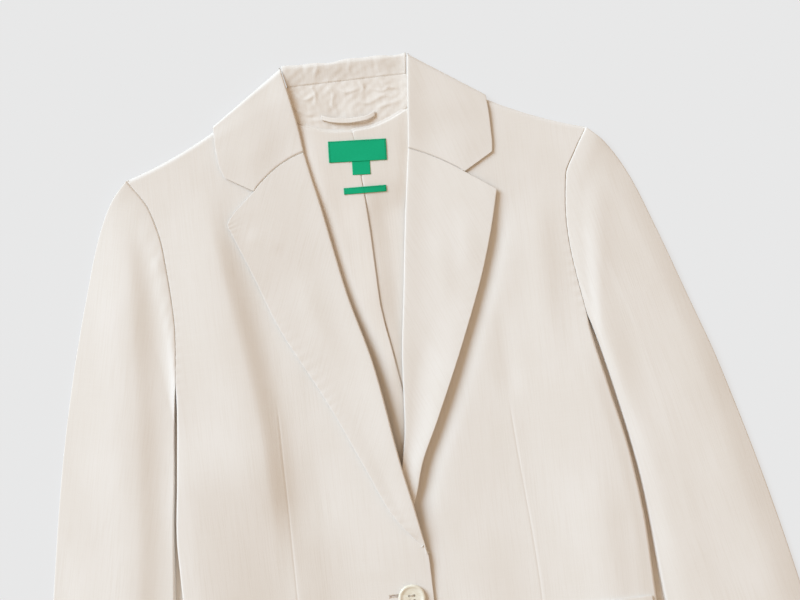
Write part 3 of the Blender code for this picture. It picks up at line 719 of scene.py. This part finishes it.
def leaf(rows, height, notch, bow, seed):
    grid = Grid(rows, (44, 44), top=TURNED[:-2], wrap=True)
    grid.bend(notch, 0.70, bow)
    top = height(grid.x, np.minimum(grid.y, 20.0)) + leaf_rise(grid, rows[0][0])
    top = top + ripple(grid.x, grid.y, 38, 0.4, seed) * ease(grid.d / 16)
    reach, drop = tucked(grid.to_end)
    sewn_part = ease((0.68 - grid.f) / 0.04)
    grid.y = grid.y - reach * sewn_part
    top = top + sewn(grid.e) + blend(sewn(grid.to_end), -1.25 * drop, sewn_part)
    z = grid.rolled(top, np.full(top.shape, 3.6))
    z = z - 1.2 * (1 - ease(grid.s / 28)) * ease((grid.angle + 0.3) / 1.8)[None, :]
    return grid.points(0.4 + (z - 0.4) * turned(grid.s, 4.0))


shell("collar_leaf_left", leaf(LEAF_LEFT, left_front, NOTCH_LEFT, 4.5, 5), CLOTH, grain=-18)
shell("collar_leaf_right", leaf(LEAF_RIGHT, right_level, NOTCH_RIGHT, 2.0, 6), CLOTH, grain=18)

# %% [markdown]
# The stand is the inside of the collar, seen in the neck opening.  It is cut
# straight and bent round the neck, so laid flat it crumples into short creases.

# %% Collar stand
CRUMPLES = [
    ([(-22, 60), (-25, 52), (-27, 44)], 1.2, 2.0, 0.8, (0.1, 0.4)),
    ([(-34, 61), (-35, 54), (-33, 47)], 1.4, 1.4, -0.5, (0.1, 0.4)),
    ([(6, 61), (4, 52), (6, 45)], 1.4, 1.4, 0.6, (0.1, 0.4)),
    ([(24, 61), (26, 54), (25, 48)], 1.6, 1.2, -0.4, (0.1, 0.4)),
    ([(-50, 32), (-42, 22), (-34, 18), (-26, 17)], 1.6, 2.6, 0.9, (0.2, 0.3)),
    ([(-46, 40), (-36, 31), (-24, 36)], 1.4, 2.2, 0.8, (0.3, 0.3)),
    ([(-30, 42), (-27, 34), (-29, 24)], 1.0, 1.8, 0.9, (0.1, 0.4)),
    ([(-18, 41), (-12, 33), (-14, 24), (-8, 18)], 1.2, 2.0, 0.7, (0.2, 0.3)),
    ([(-8, 38), (0, 33), (12, 36)], 1.2, 1.8, 0.8, (0.3, 0.3)),
    ([(4, 26), (16, 22), (30, 27), (40, 24)], 1.6, 2.4, 0.9, (0.3, 0.3)),
    ([(10, 42), (14, 36), (11, 30)], 1.0, 1.6, 0.7, (0.2, 0.3)),
    ([(28, 41), (34, 34), (44, 31)], 1.2, 2.0, 0.8, (0.2, 0.3)),
    ([(20, 34), (30, 31), (38, 36)], 1.0, 1.6, 0.6, (0.2, 0.3)),
    ([(-40, 14), (-30, 13), (-16, 10)], 2.0, 1.6, 0.6, (0.3, 0.3)),
    ([(20, 17), (32, 19), (44, 22)], 1.6, 2.0, 0.7, (0.3, 0.3)),
]
STAND_LEVEL = 3.4
print("crumples in the stand:", len(CRUMPLES))


def band_level(x, y):
    level = STAND_LEVEL + 0.85 * all_folds(x, y, CRUMPLES) + ripple(x, y, 19, 0.8, 21)
    level = level + ripple(x, y, 8, 0.28, 22)
    return level + 2.6 * ease((y - 42) / 18)


across = np.linspace(-1, 1, 130)[None, :]
up = stops(1.0, 44, (0.0, 0.004, 0.012, 0.03), (0.0, 0.004, 0.012, 0.03))[:, None]
x = across * 62 + 0 * up
foot = NECK_DEPTH * np.square(x / NECK_HALF)
y = blend(foot + 0.1, STAND_TOP - 0.15, up)
z = band_level(x, y) + 0.5 * sewn(y - foot) + 0.4 * sewn(STAND_TOP - y)
shell("collar_stand", np.stack([x, y, z], axis=-1), CLOTH)

# %% [markdown]
# The fall starts at the seam with the stand, rolls over at the top of the collar
# and comes down behind it on the table, where the back lies on it.

# %% Collar fall
def collar_fall():
    radius = 3.4
    edge_y = COLLAR_TOP - radius
    profile = [(STAND_TOP + v, 0.0) for v in FINE]
    profile += [(v, 0.0) for v in np.linspace(STAND_TOP + 2.4, edge_y, 12)]
    turns = np.linspace(0.12, math.pi - 0.1, 14)
    behind = np.linspace(0.0, 1.0, 16)
    share = np.linspace(0.0, 1.0, 80)
    lines = []
    for v, _none in profile:
        x = blend(roll_left(v) + 0.7, roll_right(v) - 0.7, share)
        reach, drop = tucked(v - STAND_TOP)
        y = np.full(x.shape, v - reach)
        lines.append(np.stack([x, y, band_level(x, y) - 0.6 * drop], axis=-1))
    x = lines[-1][:, 0]
    wave = 0.6 * np.sin(x / 9.0) + 0.5 * np.sin(x / 4.3 + 1)
    top = lines[-1][:, 2]
    for a in turns:
        y = edge_y + (radius + wave) * math.sin(a)
        lines.append(np.stack([x, y, 0.1 + (top - 0.1) * (1 + math.cos(a)) / 2], axis=-1))
    for g in behind:
        half = blend(50.0, LEAF_END_X - 24, g) - 8 * float(ease(6 * g))
        wide = blend(-half, half, share)
        fall = blend(FALL_EDGE, FALL_EDGE_SIDE, np.square(wide / LEAF_END_X))
        lines.append(np.stack([wide, blend(edge_y - 1.5, fall, g), np.full(80, 0.02)], axis=-1))
    return np.array(lines)


shell("collar_fall", collar_fall(), CLOTH, judge=10)

# %% [markdown]
# A sleeve laid flat is a pressed tube.  The top sleeve carries the shape: it rounds
# down along both edges, is full at the head and has long slow ridges from the way
# the arm hangs.  The under sleeve is flat on the table.

# %% Sleeves
FOLDS_SLEEVE_LEFT = [
    ([(-194, -28), (-203, -120), (-208, -205), (-216, -290), (-230, -400), (-248, -560)],
     28, 14, 3.2, (0.1, 0.3)),
    ([(-262, -300), (-280, -420), (-296, -560)], 12, 16, 1.0, (0.4, 0.4)),
]
FOLDS_SLEEVE_RIGHT = [
    ([(198, -50), (191, -100), (190, -150), (200, -220), (208, -300)], 9, 14, 1.6, (0.15, 0.5)),
    ([(240, -120), (262, -190), (282, -300), (304, -430), (318, -540)], 30, 20, 1.2, (0.3, 0.3)),
]


def sleeve(rows, edge, height, underarm, folds, size, flat=False):
    side = math.copysign(1.0, rows[0][0])
    hug = [(x0, y0, side * max(abs(x1), abs(float(edge(y1))) + 0.4 * (x0 != rows[0][0])), y1, full)
           for x0, y0, x1, y1, full in rows]
    grid = Grid(hug, size, inner=WIDE_TURN, outer=WIDE_TURN)
    straight = blend(edge(SHOULDER_Y), edge(underarm), grid.f)
    bow = edge(blend(SHOULDER_Y, underarm, grid.f)) - straight
    grid.x = grid.x + bow * grid.extra[0][:, None] + side * 0.3
    if flat:
        gap = np.maximum(side * (grid.x[:, -1:] - edge(grid.y[:, -1:])) - 0.2, 0.0)
        gap = np.minimum(gap, 7.0) * ease((grid.y[:, -1:] + 540) / 120)
        grid.x = grid.x - side * (1.6 * (1 - grid.f) * ease(grid.s / 9) + gap * grid.f)
        return grid.points(np.full(grid.x.shape, CLOTH + 0.05))
    if side < 0:
        z = 2.9 + 4.4 * np.sin(np.clip(grid.d / 75, 0.0, 1.0) * math.pi / 2)
    else:
        z = 2.6 + 2.6 * np.sin(np.clip(grid.d / 24, 0.0, 1.0) * math.pi / 2)
        z = z + 0.048 * np.minimum(grid.d, 75.0) - 2.4 * bump(grid.e / 13)
    z = z + all_folds(grid.x, grid.y, folds) + ripple(grid.x, grid.y, 80, 0.7, 15)
    z = blend(height(grid.x, grid.y), z, ease((grid.s - 1) / 45))
    head = bump((grid.s - 11) / 9) * ease(grid.e / 40)
    wave = 0.5 + 0.5 * np.sin(grid.d / 2.6 + np.sin(grid.d / 9))
    z = z + head * (0.5 + 0.2 * wave) + 0.4 * sewn(grid.s) + sewn(grid.to_end)
    reach, drop = tucked(grid.s)
    grid.x = grid.x - side * reach * ease(grid.e / 8)
    z = z - drop
    below = ease((grid.s - 1) / 18)
    stays = turned(grid.d, 0.6) * (1 - (1 - turned(grid.e, 2.2)) * below)
    return grid.points(FOLD_LOW + (z - FOLD_LOW) * stays)


for label, rows, edge, height, underarm, folds, grain in (
        ("left", SLEEVE_LEFT, edge_left, left_front, UNDERARM_LEFT, FOLDS_SLEEVE_LEFT, -12.5),
        ("right", SLEEVE_RIGHT, edge_right, right_front, UNDERARM_RIGHT, FOLDS_SLEEVE_RIGHT, 12.5)):
    shell("top_sleeve_" + label, sleeve(
        rows, edge, height, underarm, folds, (190, 46)), CLOTH, grain=grain)
    shell("under_sleeve_" + label, sleeve(
        rows, edge, height, underarm, folds, (90, 14), flat=True), CLOTH, grain=grain)

# %% [markdown]
# A pocket flap is cloth and lining, sewn round three sides and turned out.  It
# hangs from its upper seam and stands a little further off the front lower down.

# %% Pocket flaps
def flap(rows, height):
    grid = Grid(rows, (40, 60))
    z = height(grid.x, grid.y) + 0.5 + DOUBLE + 0.9 * ease(grid.s / 40)
    z = z + sewn(grid.d) + sewn(grid.e) + sewn(grid.s) + sewn(grid.to_end)
    return grid.points(z + puckers(grid, 0.15, 9.0, 5.0, 8))


shell("pocket_flap_left", flap(FLAP_LEFT, left_front), DOUBLE)
shell("pocket_flap_right", flap(FLAP_RIGHT, right_front), DOUBLE)

# %% [markdown]
# Labels are woven ribbon, sewn to the back near the neck seam, so they lie flat but
# for a slight curl.  Nothing is written on them.  The locker loop is a narrow strip
# of cloth that arches between its two ends.

# %% Labels and locker loop
# Middle x, y, half the width, half the depth, turn in degrees, rise above the back.
LABELS = {
    "main_label": (3, -17, 24.5, 9.0, -3.4, 1.0),
    "size_tab": (4.6, -31, 7.6, 6.5, -3.4, 0.5),
    "small_label": (5.6, -50.5, 18, 2.75, -2.0, 1.0),
}
LOOP = [(-24, 14.2), (-14, 10.8), (0, 9.0), (12, 9.6), (21.5, 12.6)]
LOOP_WIDTH = 4.2
LOOP_LEVEL = 5.2


def on_label(name, a, b, above):
    """Places on a label, from places along it and across it, this far above its upper side."""
    x, y, _half_x, half_y, degrees, rise = LABELS[name]
    turn = math.radians(degrees)
    px = x + a * math.cos(turn) - b * math.sin(turn)
    py = y + a * math.sin(turn) + b * math.cos(turn)
    curl = 0.25 * np.sin(a / 6.5 + 1) * ease((np.abs(b) - 0.3 * half_y) / half_y)
    return np.stack([px, py, back_top(px, py) + rise + curl + above], axis=-1)


for name, (_x, _y, half_x, half_y, _degrees, _rise) in LABELS.items():
    a = stops(2 * half_x, 30, FINE[:5], FINE[:5])[None, :] - half_x
    b = half_y - stops(2 * half_y, 14, FINE[:4], FINE[:4])[:, None]
    edge = np.minimum(half_x - np.abs(a), half_y - np.abs(b))
    shell(name, on_label(name, a, b, -0.25 * (1 - turned(edge, 0.5))), 0.45)

loop_path = path_through(LOOP, 60)
t = np.linspace(0, 1, 60)[:, None]
width = stops(LOOP_WIDTH, 6, (0.0, 0.1, 0.3, 0.7), (0.0, 0.1, 0.3, 0.7))[None, :] - LOOP_WIDTH / 2
x = loop_path[:, :1] + 0 * width
y = loop_path[:, 1:] - width
arch = 2.2 * np.sin(math.pi * t) ** 0.8 + 0.3 * np.sin(9 * t)
z = LOOP_LEVEL + arch + 0.35 * width * np.sin(math.pi * t) * 0.6
z = z - 0.5 * (1 - turned(LOOP_WIDTH / 2 - np.abs(width), 0.7))
shell("locker_loop", np.stack([x, y, z], axis=-1), CLOTH)

# %% [markdown]
# The button is turned from a profile with a rounded rim and a sunk face, and then
# drilled through four times.  A real one is cast or cut the same way, and tumbled
# smooth.

# %% Button
import bmesh
BUTTON_FACE = 2.2               # height of the sunk face above the button's base
RIM_TOP = 3.2
HOLE_RADIUS = 1.0
HOLE_AWAY = 2.9                 # from the button's middle to the middle of a hole


def make_button():
    r, h = BUTTON_RADIUS, RIM_TOP
    profile = [(0.0, 0.0), (r - 3.0, 0.0), (r - 1.2, 0.5), (r - 0.3, 1.3), (r, 1.9), (r - 0.2, 2.6),
               (r - 0.8, 3.05), (r - 1.5, h), (r - 2.2, 3.05), (r - 3.0, 2.5),
               (r - 3.8, BUTTON_FACE), (r - 5.0, 2.15), (0.0, BUTTON_FACE)]
    body = bmesh.new()
    verts = [body.verts.new((a, 0.0, z)) for a, z in profile]
    edges = [body.edges.new(pair) for pair in zip(verts, verts[1:])]
    bmesh.ops.spin(body, geom=verts + edges, axis=(0, 0, 1), cent=(0, 0, 0), steps=72,
                   angle=math.tau, use_duplicate=False)
    bmesh.ops.remove_doubles(body, verts=body.verts[:], dist=0.001)
    bmesh.ops.recalc_face_normals(body, faces=body.faces[:])
    mesh = bpy.data.meshes.new("button_blank")
    body.to_mesh(mesh)
    blank = add_object("button_blank", mesh)
    drill = bmesh.new()
    for i in range(4):
        a = math.tau * (i + 0.5) / 4
        hole = bmesh.ops.create_cone(drill, cap_ends=True, segments=20, depth=12,
                                     radius1=HOLE_RADIUS, radius2=HOLE_RADIUS)
        bmesh.ops.translate(drill, verts=hole["verts"],
                            vec=(HOLE_AWAY * math.cos(a), HOLE_AWAY * math.sin(a), 2))
    cutter_mesh = bpy.data.meshes.new("drill")
    drill.to_mesh(cutter_mesh)
    cutter = add_object("drill", cutter_mesh)
    cut = blank.modifiers.new("holes", "BOOLEAN")
    cut.solver = "EXACT"
    cut.object = cutter
    bpy.context.view_layer.update()
    done = bpy.data.meshes.new_from_object(
        blank.evaluated_get(bpy.context.evaluated_depsgraph_get()))
    for thing in (blank, cutter):
        bpy.data.objects.remove(thing)
    done.name = "shirt_button"
    for vertex in done.vertices:
        vertex.co = (np.array(vertex.co) + [BUTTON[0], BUTTON[1], BUTTON_BASE] + SHIFT) * MM
    done.shade_smooth()
    done.set_sharp_from_angle(angle=math.radians(40))
    print("coat_button:", len(done.polygons), "faces, base at", round(BUTTON_BASE, 2), "mm")
    return add_object("coat_button", done)


made["button"] = make_button()

# %% [markdown]
# Materials are built in nodes.  A few helpers keep each one short: one adds a node,
# one stretches noise along the cloth's own map, one mixes two colours, one cuts a
# noise into soft steps and one turns a height into relief.

# %% Material helpers
def set_sockets(owner, values):
    for key, value in values.items():
        owner.inputs[key].default_value = value
    return owner


def node(tree, kind, sockets=None, **settings):
    """A new node with its settings, and with values on its sockets."""
    made_node = tree.nodes.new(kind)
    for key, value in settings.items():
        setattr(made_node, key, value)
    return set_sockets(made_node, sockets or {})


def stretched_noise(tree, vector, scale, detail=2.0, distortion=0.0):
    mapping = node(tree, "ShaderNodeMapping", {"Scale": scale})
    tree.links.new(vector, mapping.inputs["Vector"])
    noise = node(tree, "ShaderNodeTexNoise",
                 {"Scale": 1.0, "Detail": detail, "Distortion": distortion})
    tree.links.new(mapping.outputs["Vector"], noise.inputs["Vector"])
    return noise.outputs["Fac"]


def mix(tree, factor, a, b, mode="MIX"):
    """Mixes two colours; a factor, colour or socket may be a number, tuple or link."""
    mixer = node(tree, "ShaderNodeMix", data_type="RGBA", blend_type=mode)
    for socket, value in ((mixer.inputs[0], factor), (mixer.inputs[6], a), (mixer.inputs[7], b)):
        if isinstance(value, bpy.types.NodeSocket):
            tree.links.new(value, socket)
        else:
            socket.default_value = value if not isinstance(value, tuple) else (*value, 1.0)
    return mixer.outputs[2]


def ramp(tree, factor, start, end, most=1.0):
    """0 below `start`, and as much as `most` above `end`."""
    ranged = node(tree, "ShaderNodeMapRange", {"From Min": start, "From Max": end, "To Max": most},
                  interpolation_type="SMOOTHSTEP")
    tree.links.new(factor, ranged.inputs["Value"])
    return ranged.outputs["Result"]


def new_material(name, sockets):
    """A material, its tree and its shader, with values on the shader's sockets."""
    material = bpy.data.materials.new(name)
    material.use_nodes = True
    shader = set_sockets(material.node_tree.nodes["Principled BSDF"], sockets)
    print("material:", name)
    return material, material.node_tree, shader


def add_relief(tree, shader, height, strength, distance):
    """Bumps a shader's surface by a height, with the largest step given in metres."""
    relief = node(tree, "ShaderNodeBump", {"Strength": strength, "Distance": distance})
    tree.links.new(height, relief.inputs["Height"])
    tree.links.new(relief.outputs["Normal"], shader.inputs["Normal"])
print("material helpers: node, noise, mix, ramp and relief")

# %% [markdown]
# On linen the eye catches not the weave, which is half a millimetre wide, but the
# slubs: thick stretches of yarn that make faint streaks along the cloth.  The
# slubs and patches are stretched noise, and the weave is two waves that cross.

# %% Linen
def linen(name, colour, deep):
    material, tree, shader = new_material(name, {
        "Roughness": 0.92, "Specular IOR Level": 0.25, "Sheen Weight": 0.12,
        "Sheen Roughness": 0.55})
    place = node(tree, "ShaderNodeUVMap", uv_map="Cloth").outputs["UV"]
    slubs = ramp(tree, stretched_noise(tree, place, (850, 24, 1), 3.0, 0.3), 0.42, 0.72, 0.7)
    cross = ramp(tree, stretched_noise(tree, place, (22, 760, 1), 2.0, 0.2), 0.45, 0.75, 0.3)
    patches = ramp(tree, stretched_noise(tree, place, (26, 14, 1), 3.0), 0.3, 0.7)
    base = mix(tree, patches, colour, tuple(c * k for c, k in zip(colour, (0.975, 0.968, 0.955))))
    base = mix(tree, slubs, base, deep)
    base = mix(tree, cross, base, tuple(c * 1.002 for c in colour))
    tree.links.new(base, shader.inputs["Base Color"])
    weave = node(tree, "ShaderNodeMath", operation="MAXIMUM")
    for socket, way in zip(weave.inputs, "XY"):
        yarns = node(tree, "ShaderNodeTexWave", {
            "Scale": 570.0, "Distortion": 1.2, "Detail": 1.0, "Detail Scale": 0.3},
            bands_direction=way)
        tree.links.new(place, yarns.inputs["Vector"])
        tree.links.new(yarns.outputs["Fac"], socket)
    rise = node(tree, "ShaderNodeMath", {1: 1.2}, operation="MULTIPLY_ADD")
    tree.links.new(slubs, rise.inputs[0])
    tree.links.new(weave.outputs["Value"], rise.inputs[2])
    add_relief(tree, shader, rise.outputs["Value"], 0.25, 0.00012)
    return material


LINEN = linen("linen", (0.788, 0.730, 0.668), (0.750, 0.684, 0.612))
# A copy of the linen, a little darker and warmer, for the back, stand and loop deep in the neck opening:
# painted shade, the warm dimness of that opening painted into their colour.
LINEN_INSIDE_SHADED = linen("linen_inside", (0.782, 0.715, 0.645), (0.745, 0.670, 0.592))

# %% [markdown]
# Labels are a fine ribbon whose threads run along it.  The button is cast in a
# creamy plastic that looks like horn, clouded and a little glossy.  Thread is
# plain, because a stitch is smaller than any pattern on it.

# %% Label, button and thread
def satin(name, colour, deep):
    material, tree, shader = new_material(name, {"Roughness": 0.6, "Specular IOR Level": 0.15})
    place = node(tree, "ShaderNodeUVMap", uv_map="Cloth").outputs["UV"]
    threads = stretched_noise(tree, place, (400, 3200, 1), 1.0)
    tree.links.new(mix(tree, threads, colour, deep), shader.inputs["Base Color"])
    add_relief(tree, shader, threads, 0.4, 0.0001)
    return material


def horn(name, colour, deep):
    material, tree, shader = new_material(name, {"Roughness": 0.28, "Coat Weight": 0.2})
    place = node(tree, "ShaderNodeTexCoord").outputs["Object"]
    clouds = ramp(tree, stretched_noise(tree, place, (160, 420, 160), 4.0, 1.0), 0.35, 0.7)
    tree.links.new(mix(tree, clouds, colour, deep), shader.inputs["Base Color"])
    return material


GREEN = satin("label_green", (0.004, 0.43, 0.20), (0.002, 0.34, 0.15))
CREAM = horn("button_cream", (0.83, 0.78, 0.66), (0.74, 0.67, 0.53))

# The dark one is not a thread but painted shade: it colours the buttonhole's cut, where only the shadow
# of the gap is dark.
THREADS_AND_SLIT_SHADE = {"thread": (0.62, 0.52, 0.41, 1), "painted_slit_shade": (0.20, 0.10, 0.085, 1),
           "thread_green": (0.002, 0.13, 0.055, 1)}
THREAD, PAINTED_SLIT_SHADE, THREAD_GREEN = [
    new_material(name, {"Base Color": colour, "Roughness": 0.6})[0]
    for name, colour in THREADS_AND_SLIT_SHADE.items()]

# %% [markdown]
# Stitches repeat, so Geometry Nodes lays them: a curve is cut into even points,
# and one small bead of thread is copied to every point and turned to its path.
# The beads differ a little in size, as stitches do.

# %% Stitch nodes
def stitch_tree():
    tree = bpy.data.node_groups.new("stitch_run", "GeometryNodeTree")
    face = tree.interface
    face.new_socket("Geometry", in_out="INPUT", socket_type="NodeSocketGeometry")
    for label in ("Step", "Length", "Width", "Across"):
        face.new_socket(label, in_out="INPUT", socket_type="NodeSocketFloat")
    face.new_socket("Material", in_out="INPUT", socket_type="NodeSocketMaterial")
    face.new_socket("Geometry", in_out="OUTPUT", socket_type="NodeSocketGeometry")
    start = tree.nodes.new("NodeGroupInput").outputs
    points = node(tree, "GeometryNodeCurveToPoints", mode="LENGTH")
    bead = node(tree, "GeometryNodeMeshUVSphere", {"Segments": 6, "Rings": 4, "Radius": 0.5})
    size = node(tree, "ShaderNodeCombineXYZ")
    shaped = node(tree, "GeometryNodeTransform")
    facing = node(tree, "FunctionNodeAlignRotationToVector", axis="X")
    level = node(tree, "FunctionNodeAlignRotationToVector", {"Vector": (0, 0, 1)}, axis="Z",
                 pivot_axis="X")
    turn = node(tree, "FunctionNodeRotateRotation", rotation_space="LOCAL")
    angle = node(tree, "ShaderNodeCombineXYZ")
    jitter = node(tree, "FunctionNodeRandomValue", {2: 0.85, 3: 1.12, "Seed": 7},
                  data_type="FLOAT")
    placed = node(tree, "GeometryNodeInstanceOnPoints")
    real = node(tree, "GeometryNodeRealizeInstances")
    coat = node(tree, "GeometryNodeSetMaterial")
    end = tree.nodes.new("NodeGroupOutput").inputs
    for a, c in (
            (start["Geometry"], points.inputs["Curve"]), (start["Step"], points.inputs["Length"]),
            (start["Length"], size.inputs["X"]), (start["Width"], size.inputs["Y"]),
            (start["Width"], size.inputs["Z"]), (size.outputs["Vector"], shaped.inputs["Scale"]),
            (bead.outputs["Mesh"], shaped.inputs["Geometry"]),
            (points.outputs["Tangent"], facing.inputs["Vector"]),
            (facing.outputs["Rotation"], level.inputs["Rotation"]),
            (start["Across"], angle.inputs["Z"]),
            (level.outputs["Rotation"], turn.inputs["Rotation"]),
            (angle.outputs["Vector"], turn.inputs["Rotate By"]),
            (points.outputs["Points"], placed.inputs["Points"]),
            (shaped.outputs["Geometry"], placed.inputs["Instance"]),
            (turn.outputs["Rotation"], placed.inputs["Rotation"]),
            (jitter.outputs[1], placed.inputs["Scale"]),
            (placed.outputs["Instances"], real.inputs["Geometry"]),
            (real.outputs["Geometry"], coat.inputs["Geometry"]),
            (start["Material"], coat.inputs["Material"]),
            (coat.outputs["Geometry"], end["Geometry"])):
        tree.links.new(a, c)
    return tree


STITCH_RUN = stitch_tree()
print("stitch nodes:", len(STITCH_RUN.nodes))

# %% [markdown]
# A run of stitches is laid along a path and converted to a plain mesh at once, so
# nothing is left to compute later.

# %% Stitch runs
def stitches(name, path, step, length, width, material, across=0.0):
    """A run of stitches (mm) along a path, joined into one piece with its own name."""
    curve = bpy.data.curves.new(name + "_path", "CURVE")
    curve.dimensions = "3D"
    spline = curve.splines.new("POLY")
    spline.points.add(len(path) - 1)
    for point, place in zip(spline.points, (np.array(path, float) + SHIFT) * MM):
        point.co = (*place, 1.0)
    guide = add_object(name + "_path", curve)
    run = guide.modifiers.new("stitches", "NODES")
    run.node_group = STITCH_RUN
    values = {"Step": step * MM, "Length": length * MM, "Width": width * MM,
              "Across": math.radians(across), "Material": material}
    for item in STITCH_RUN.interface.items_tree:
        if item.in_out == "INPUT" and item.name in values:
            run[item.identifier] = values[item.name]
    bpy.context.view_layer.update()
    mesh = bpy.data.meshes.new_from_object(
        guide.evaluated_get(bpy.context.evaluated_depsgraph_get()))
    guide.modifiers.remove(run)
    bpy.data.objects.remove(guide)
    mesh.name = name
    thing = add_object(name, mesh)
    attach(thing, "root")
    print(name + ":", len(mesh.polygons), "faces")


# %% [markdown]
# The buttonhole is a slit that comes out from under the button on its left, edged
# with short stitches and closed by a bar.  The labels and the locker loop are held
# by a few plain stitches, and the button by thread through its four holes.

# %% Stitches
def on_front(points, above):
    """Places on the left front, this far above its upper side."""
    x, y = np.array(points, float).T
    return np.stack([x, y, left_front(x, y) + above], axis=1)


hole_y = BUTTON[1] + 3.0         # the slit lies a little above the button's middle
slit = [(x, hole_y + 0.25 * math.sin(x)) for x in np.linspace(-13.4, -2.0, 14)]
# The slit is a run of dark beads along the cut: painted shade in place of the gap's own shadow.
stitches("buttonhole_slit", on_front(slit, 0.0), 0.8, 1.3, 0.5, PAINTED_SLIT_SHADE)
for name, side in (("buttonhole_upper_edge", 1), ("buttonhole_lower_edge", -1)):
    row = [(x, hole_y + side * 0.95) for x in np.linspace(-13.6, -2.0, 14)]
    stitches(name, on_front(row, 0.1), 0.62, 1.3, 0.42, THREAD, 90)
bar = [(-14.2, hole_y + v) for v in np.linspace(-1.5, 1.5, 5)]
stitches("buttonhole_bar", on_front(bar, 0.12), 0.55, 1.0, 0.42, THREAD, 90)


for name, gap in (("main_label", 1.1), ("small_label", 0.8)):
    half_x, half_y = LABELS[name][2:4]
    for end, side in (("left", -1), ("right", 1)):
        b = np.linspace(-half_y + 0.6, half_y - 0.6, 9)
        column = on_label(name, np.full(9, side * (half_x - gap)), b, 0.12)
        stitches(f"{name}_{end}_stitches", column, 1.5, 1.1, 0.35, THREAD_GREEN)
    a = np.linspace(-half_x + 1, half_x - 1, 12)
    row = on_label(name, a, np.full(12, half_y - 0.8), 0.12)
    stitches(f"{name}_top_stitches", row, 1.9, 1.3, 0.32, THREAD_GREEN)

for end, (x, y) in (("left", (-23.0, 13.2)), ("right", (20.4, 11.6))):
    tack = [(x, y + v, LOOP_LEVEL + 0.1) for v in np.linspace(-1.7, 1.9, 5)]
    stitches(f"loop_{end}_tack", tack, 0.7, 1.5, 0.5, THREAD, 90)

button_top = BUTTON_BASE + BUTTON_FACE
for end, side in (("upper", 1), ("lower", -1)):
    for i, v in enumerate((-0.35, 0.35)):
        strand = [(BUTTON[0] + a, BUTTON[1] + side * 2.05 + v, button_top + 0.35 - 0.12 * a * a)
                  for a in np.linspace(-2.2, 2.2, 7)]
        stitches(f"button_thread_{end}_{i + 1}", strand, 0.6, 1.1, 0.6, THREAD)

# %% [markdown]
# Each piece gets its material, is tied to the root, and hides the node it stands in for.

# %% Materials on the pieces
# The back, the stand and the locker loop take the darker, warmer linen of painted shade.
SLOTS = {"label": ("label_green", GREEN), "tab": ("label_green", GREEN),
         "button": ("button_cream", CREAM), "back": ("linen_inside", LINEN_INSIDE_SHADED),
         "stand": ("linen_inside", LINEN_INSIDE_SHADED), "loop": ("linen_inside", LINEN_INSIDE_SHADED)}
for name, thing in made.items():
    slot, material = next((SLOTS[word] for word in SLOTS if word in name), ("linen", LINEN))
    thing.data.materials.clear()
    thing.data.materials.append(material)
    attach(thing, "root")
    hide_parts(name)
print("materials on", len(made), "pieces")

# %% [markdown]

# %% [markdown]
# A pale seamless floor and one broad soft light from the upper left, as over a
# table in a daylight studio.  The floor glows a little of its own, like a lit
# table, so the shadows on it stay faint.

# %% Floor and light
from mathutils import Vector
scene = bpy.context.scene
SUN_HEIGHT = 34                 # degrees above the table
SUN_SPREAD = 36                 # degrees; a wide sun gives soft shadows
floor_mesh = bpy.data.meshes.new("floor")
half = 30.0                     # metres, so far that its edge is never in view
floor_mesh.from_pydata([(-half, -half, 0), (half, -half, 0), (half, half, 0), (-half, half, 0)],
                       [], [(0, 1, 2, 3)])
floor = add_object("floor", floor_mesh)
floor.location.z = -0.0002      # just below the cloth that lies on it
paper = new_material("paper", {
    "Base Color": (0.15, 0.15, 0.15, 1), "Roughness": 1.0, "Specular IOR Level": 0.0,
    "Emission Color": (1, 1, 1, 1), "Emission Strength": 0.655})[0]
floor_mesh.materials.append(paper)

world = bpy.data.worlds.new("studio")
world.use_nodes = True
set_sockets(world.node_tree.nodes["Background"], {"Color": (1.34, 1.05, 0.77, 1), "Strength": 0.46})
scene.world = world

sun = bpy.data.lights.new("window", "SUN")
sun.energy = 3.1
sun.color = (0.71, 0.96, 1.21)
sun.angle = math.radians(SUN_SPREAD)
window = add_object("window", sun)
travel = Vector((0.80, -0.60, -math.tan(math.radians(SUN_HEIGHT))))
window.rotation_euler = travel.to_track_quat("-Z", "Y").to_euler()
print("light:", SUN_HEIGHT, "degrees up,", SUN_SPREAD, "degrees wide")

# %% [markdown]
# The camera looks straight down, from far enough away to keep the outline true.
# It takes in the upper part of the blazer, and is turned a little against it.

# %% Camera
LENS = 85
SENSOR = 36
VIEW_WIDTH = 675.0              # mm of the table that the view takes in, side to side
VIEW_TURN = -6.71
camera_data = bpy.data.cameras.new("camera")
camera_data.lens = LENS
camera_data.sensor_width = SENSOR
view_middle = (np.array([24.0, -146.5, 0.0]) + SHIFT) * MM
camera = add_object("camera", camera_data)
camera.location = (view_middle[0], view_middle[1], VIEW_WIDTH * MM * LENS / SENSOR + 0.008)
camera.rotation_euler = (0, 0, math.radians(VIEW_TURN))
scene.camera = camera
scene.view_settings.view_transform = "Standard"
print("camera height:", round(camera.location.z, 3), "m")
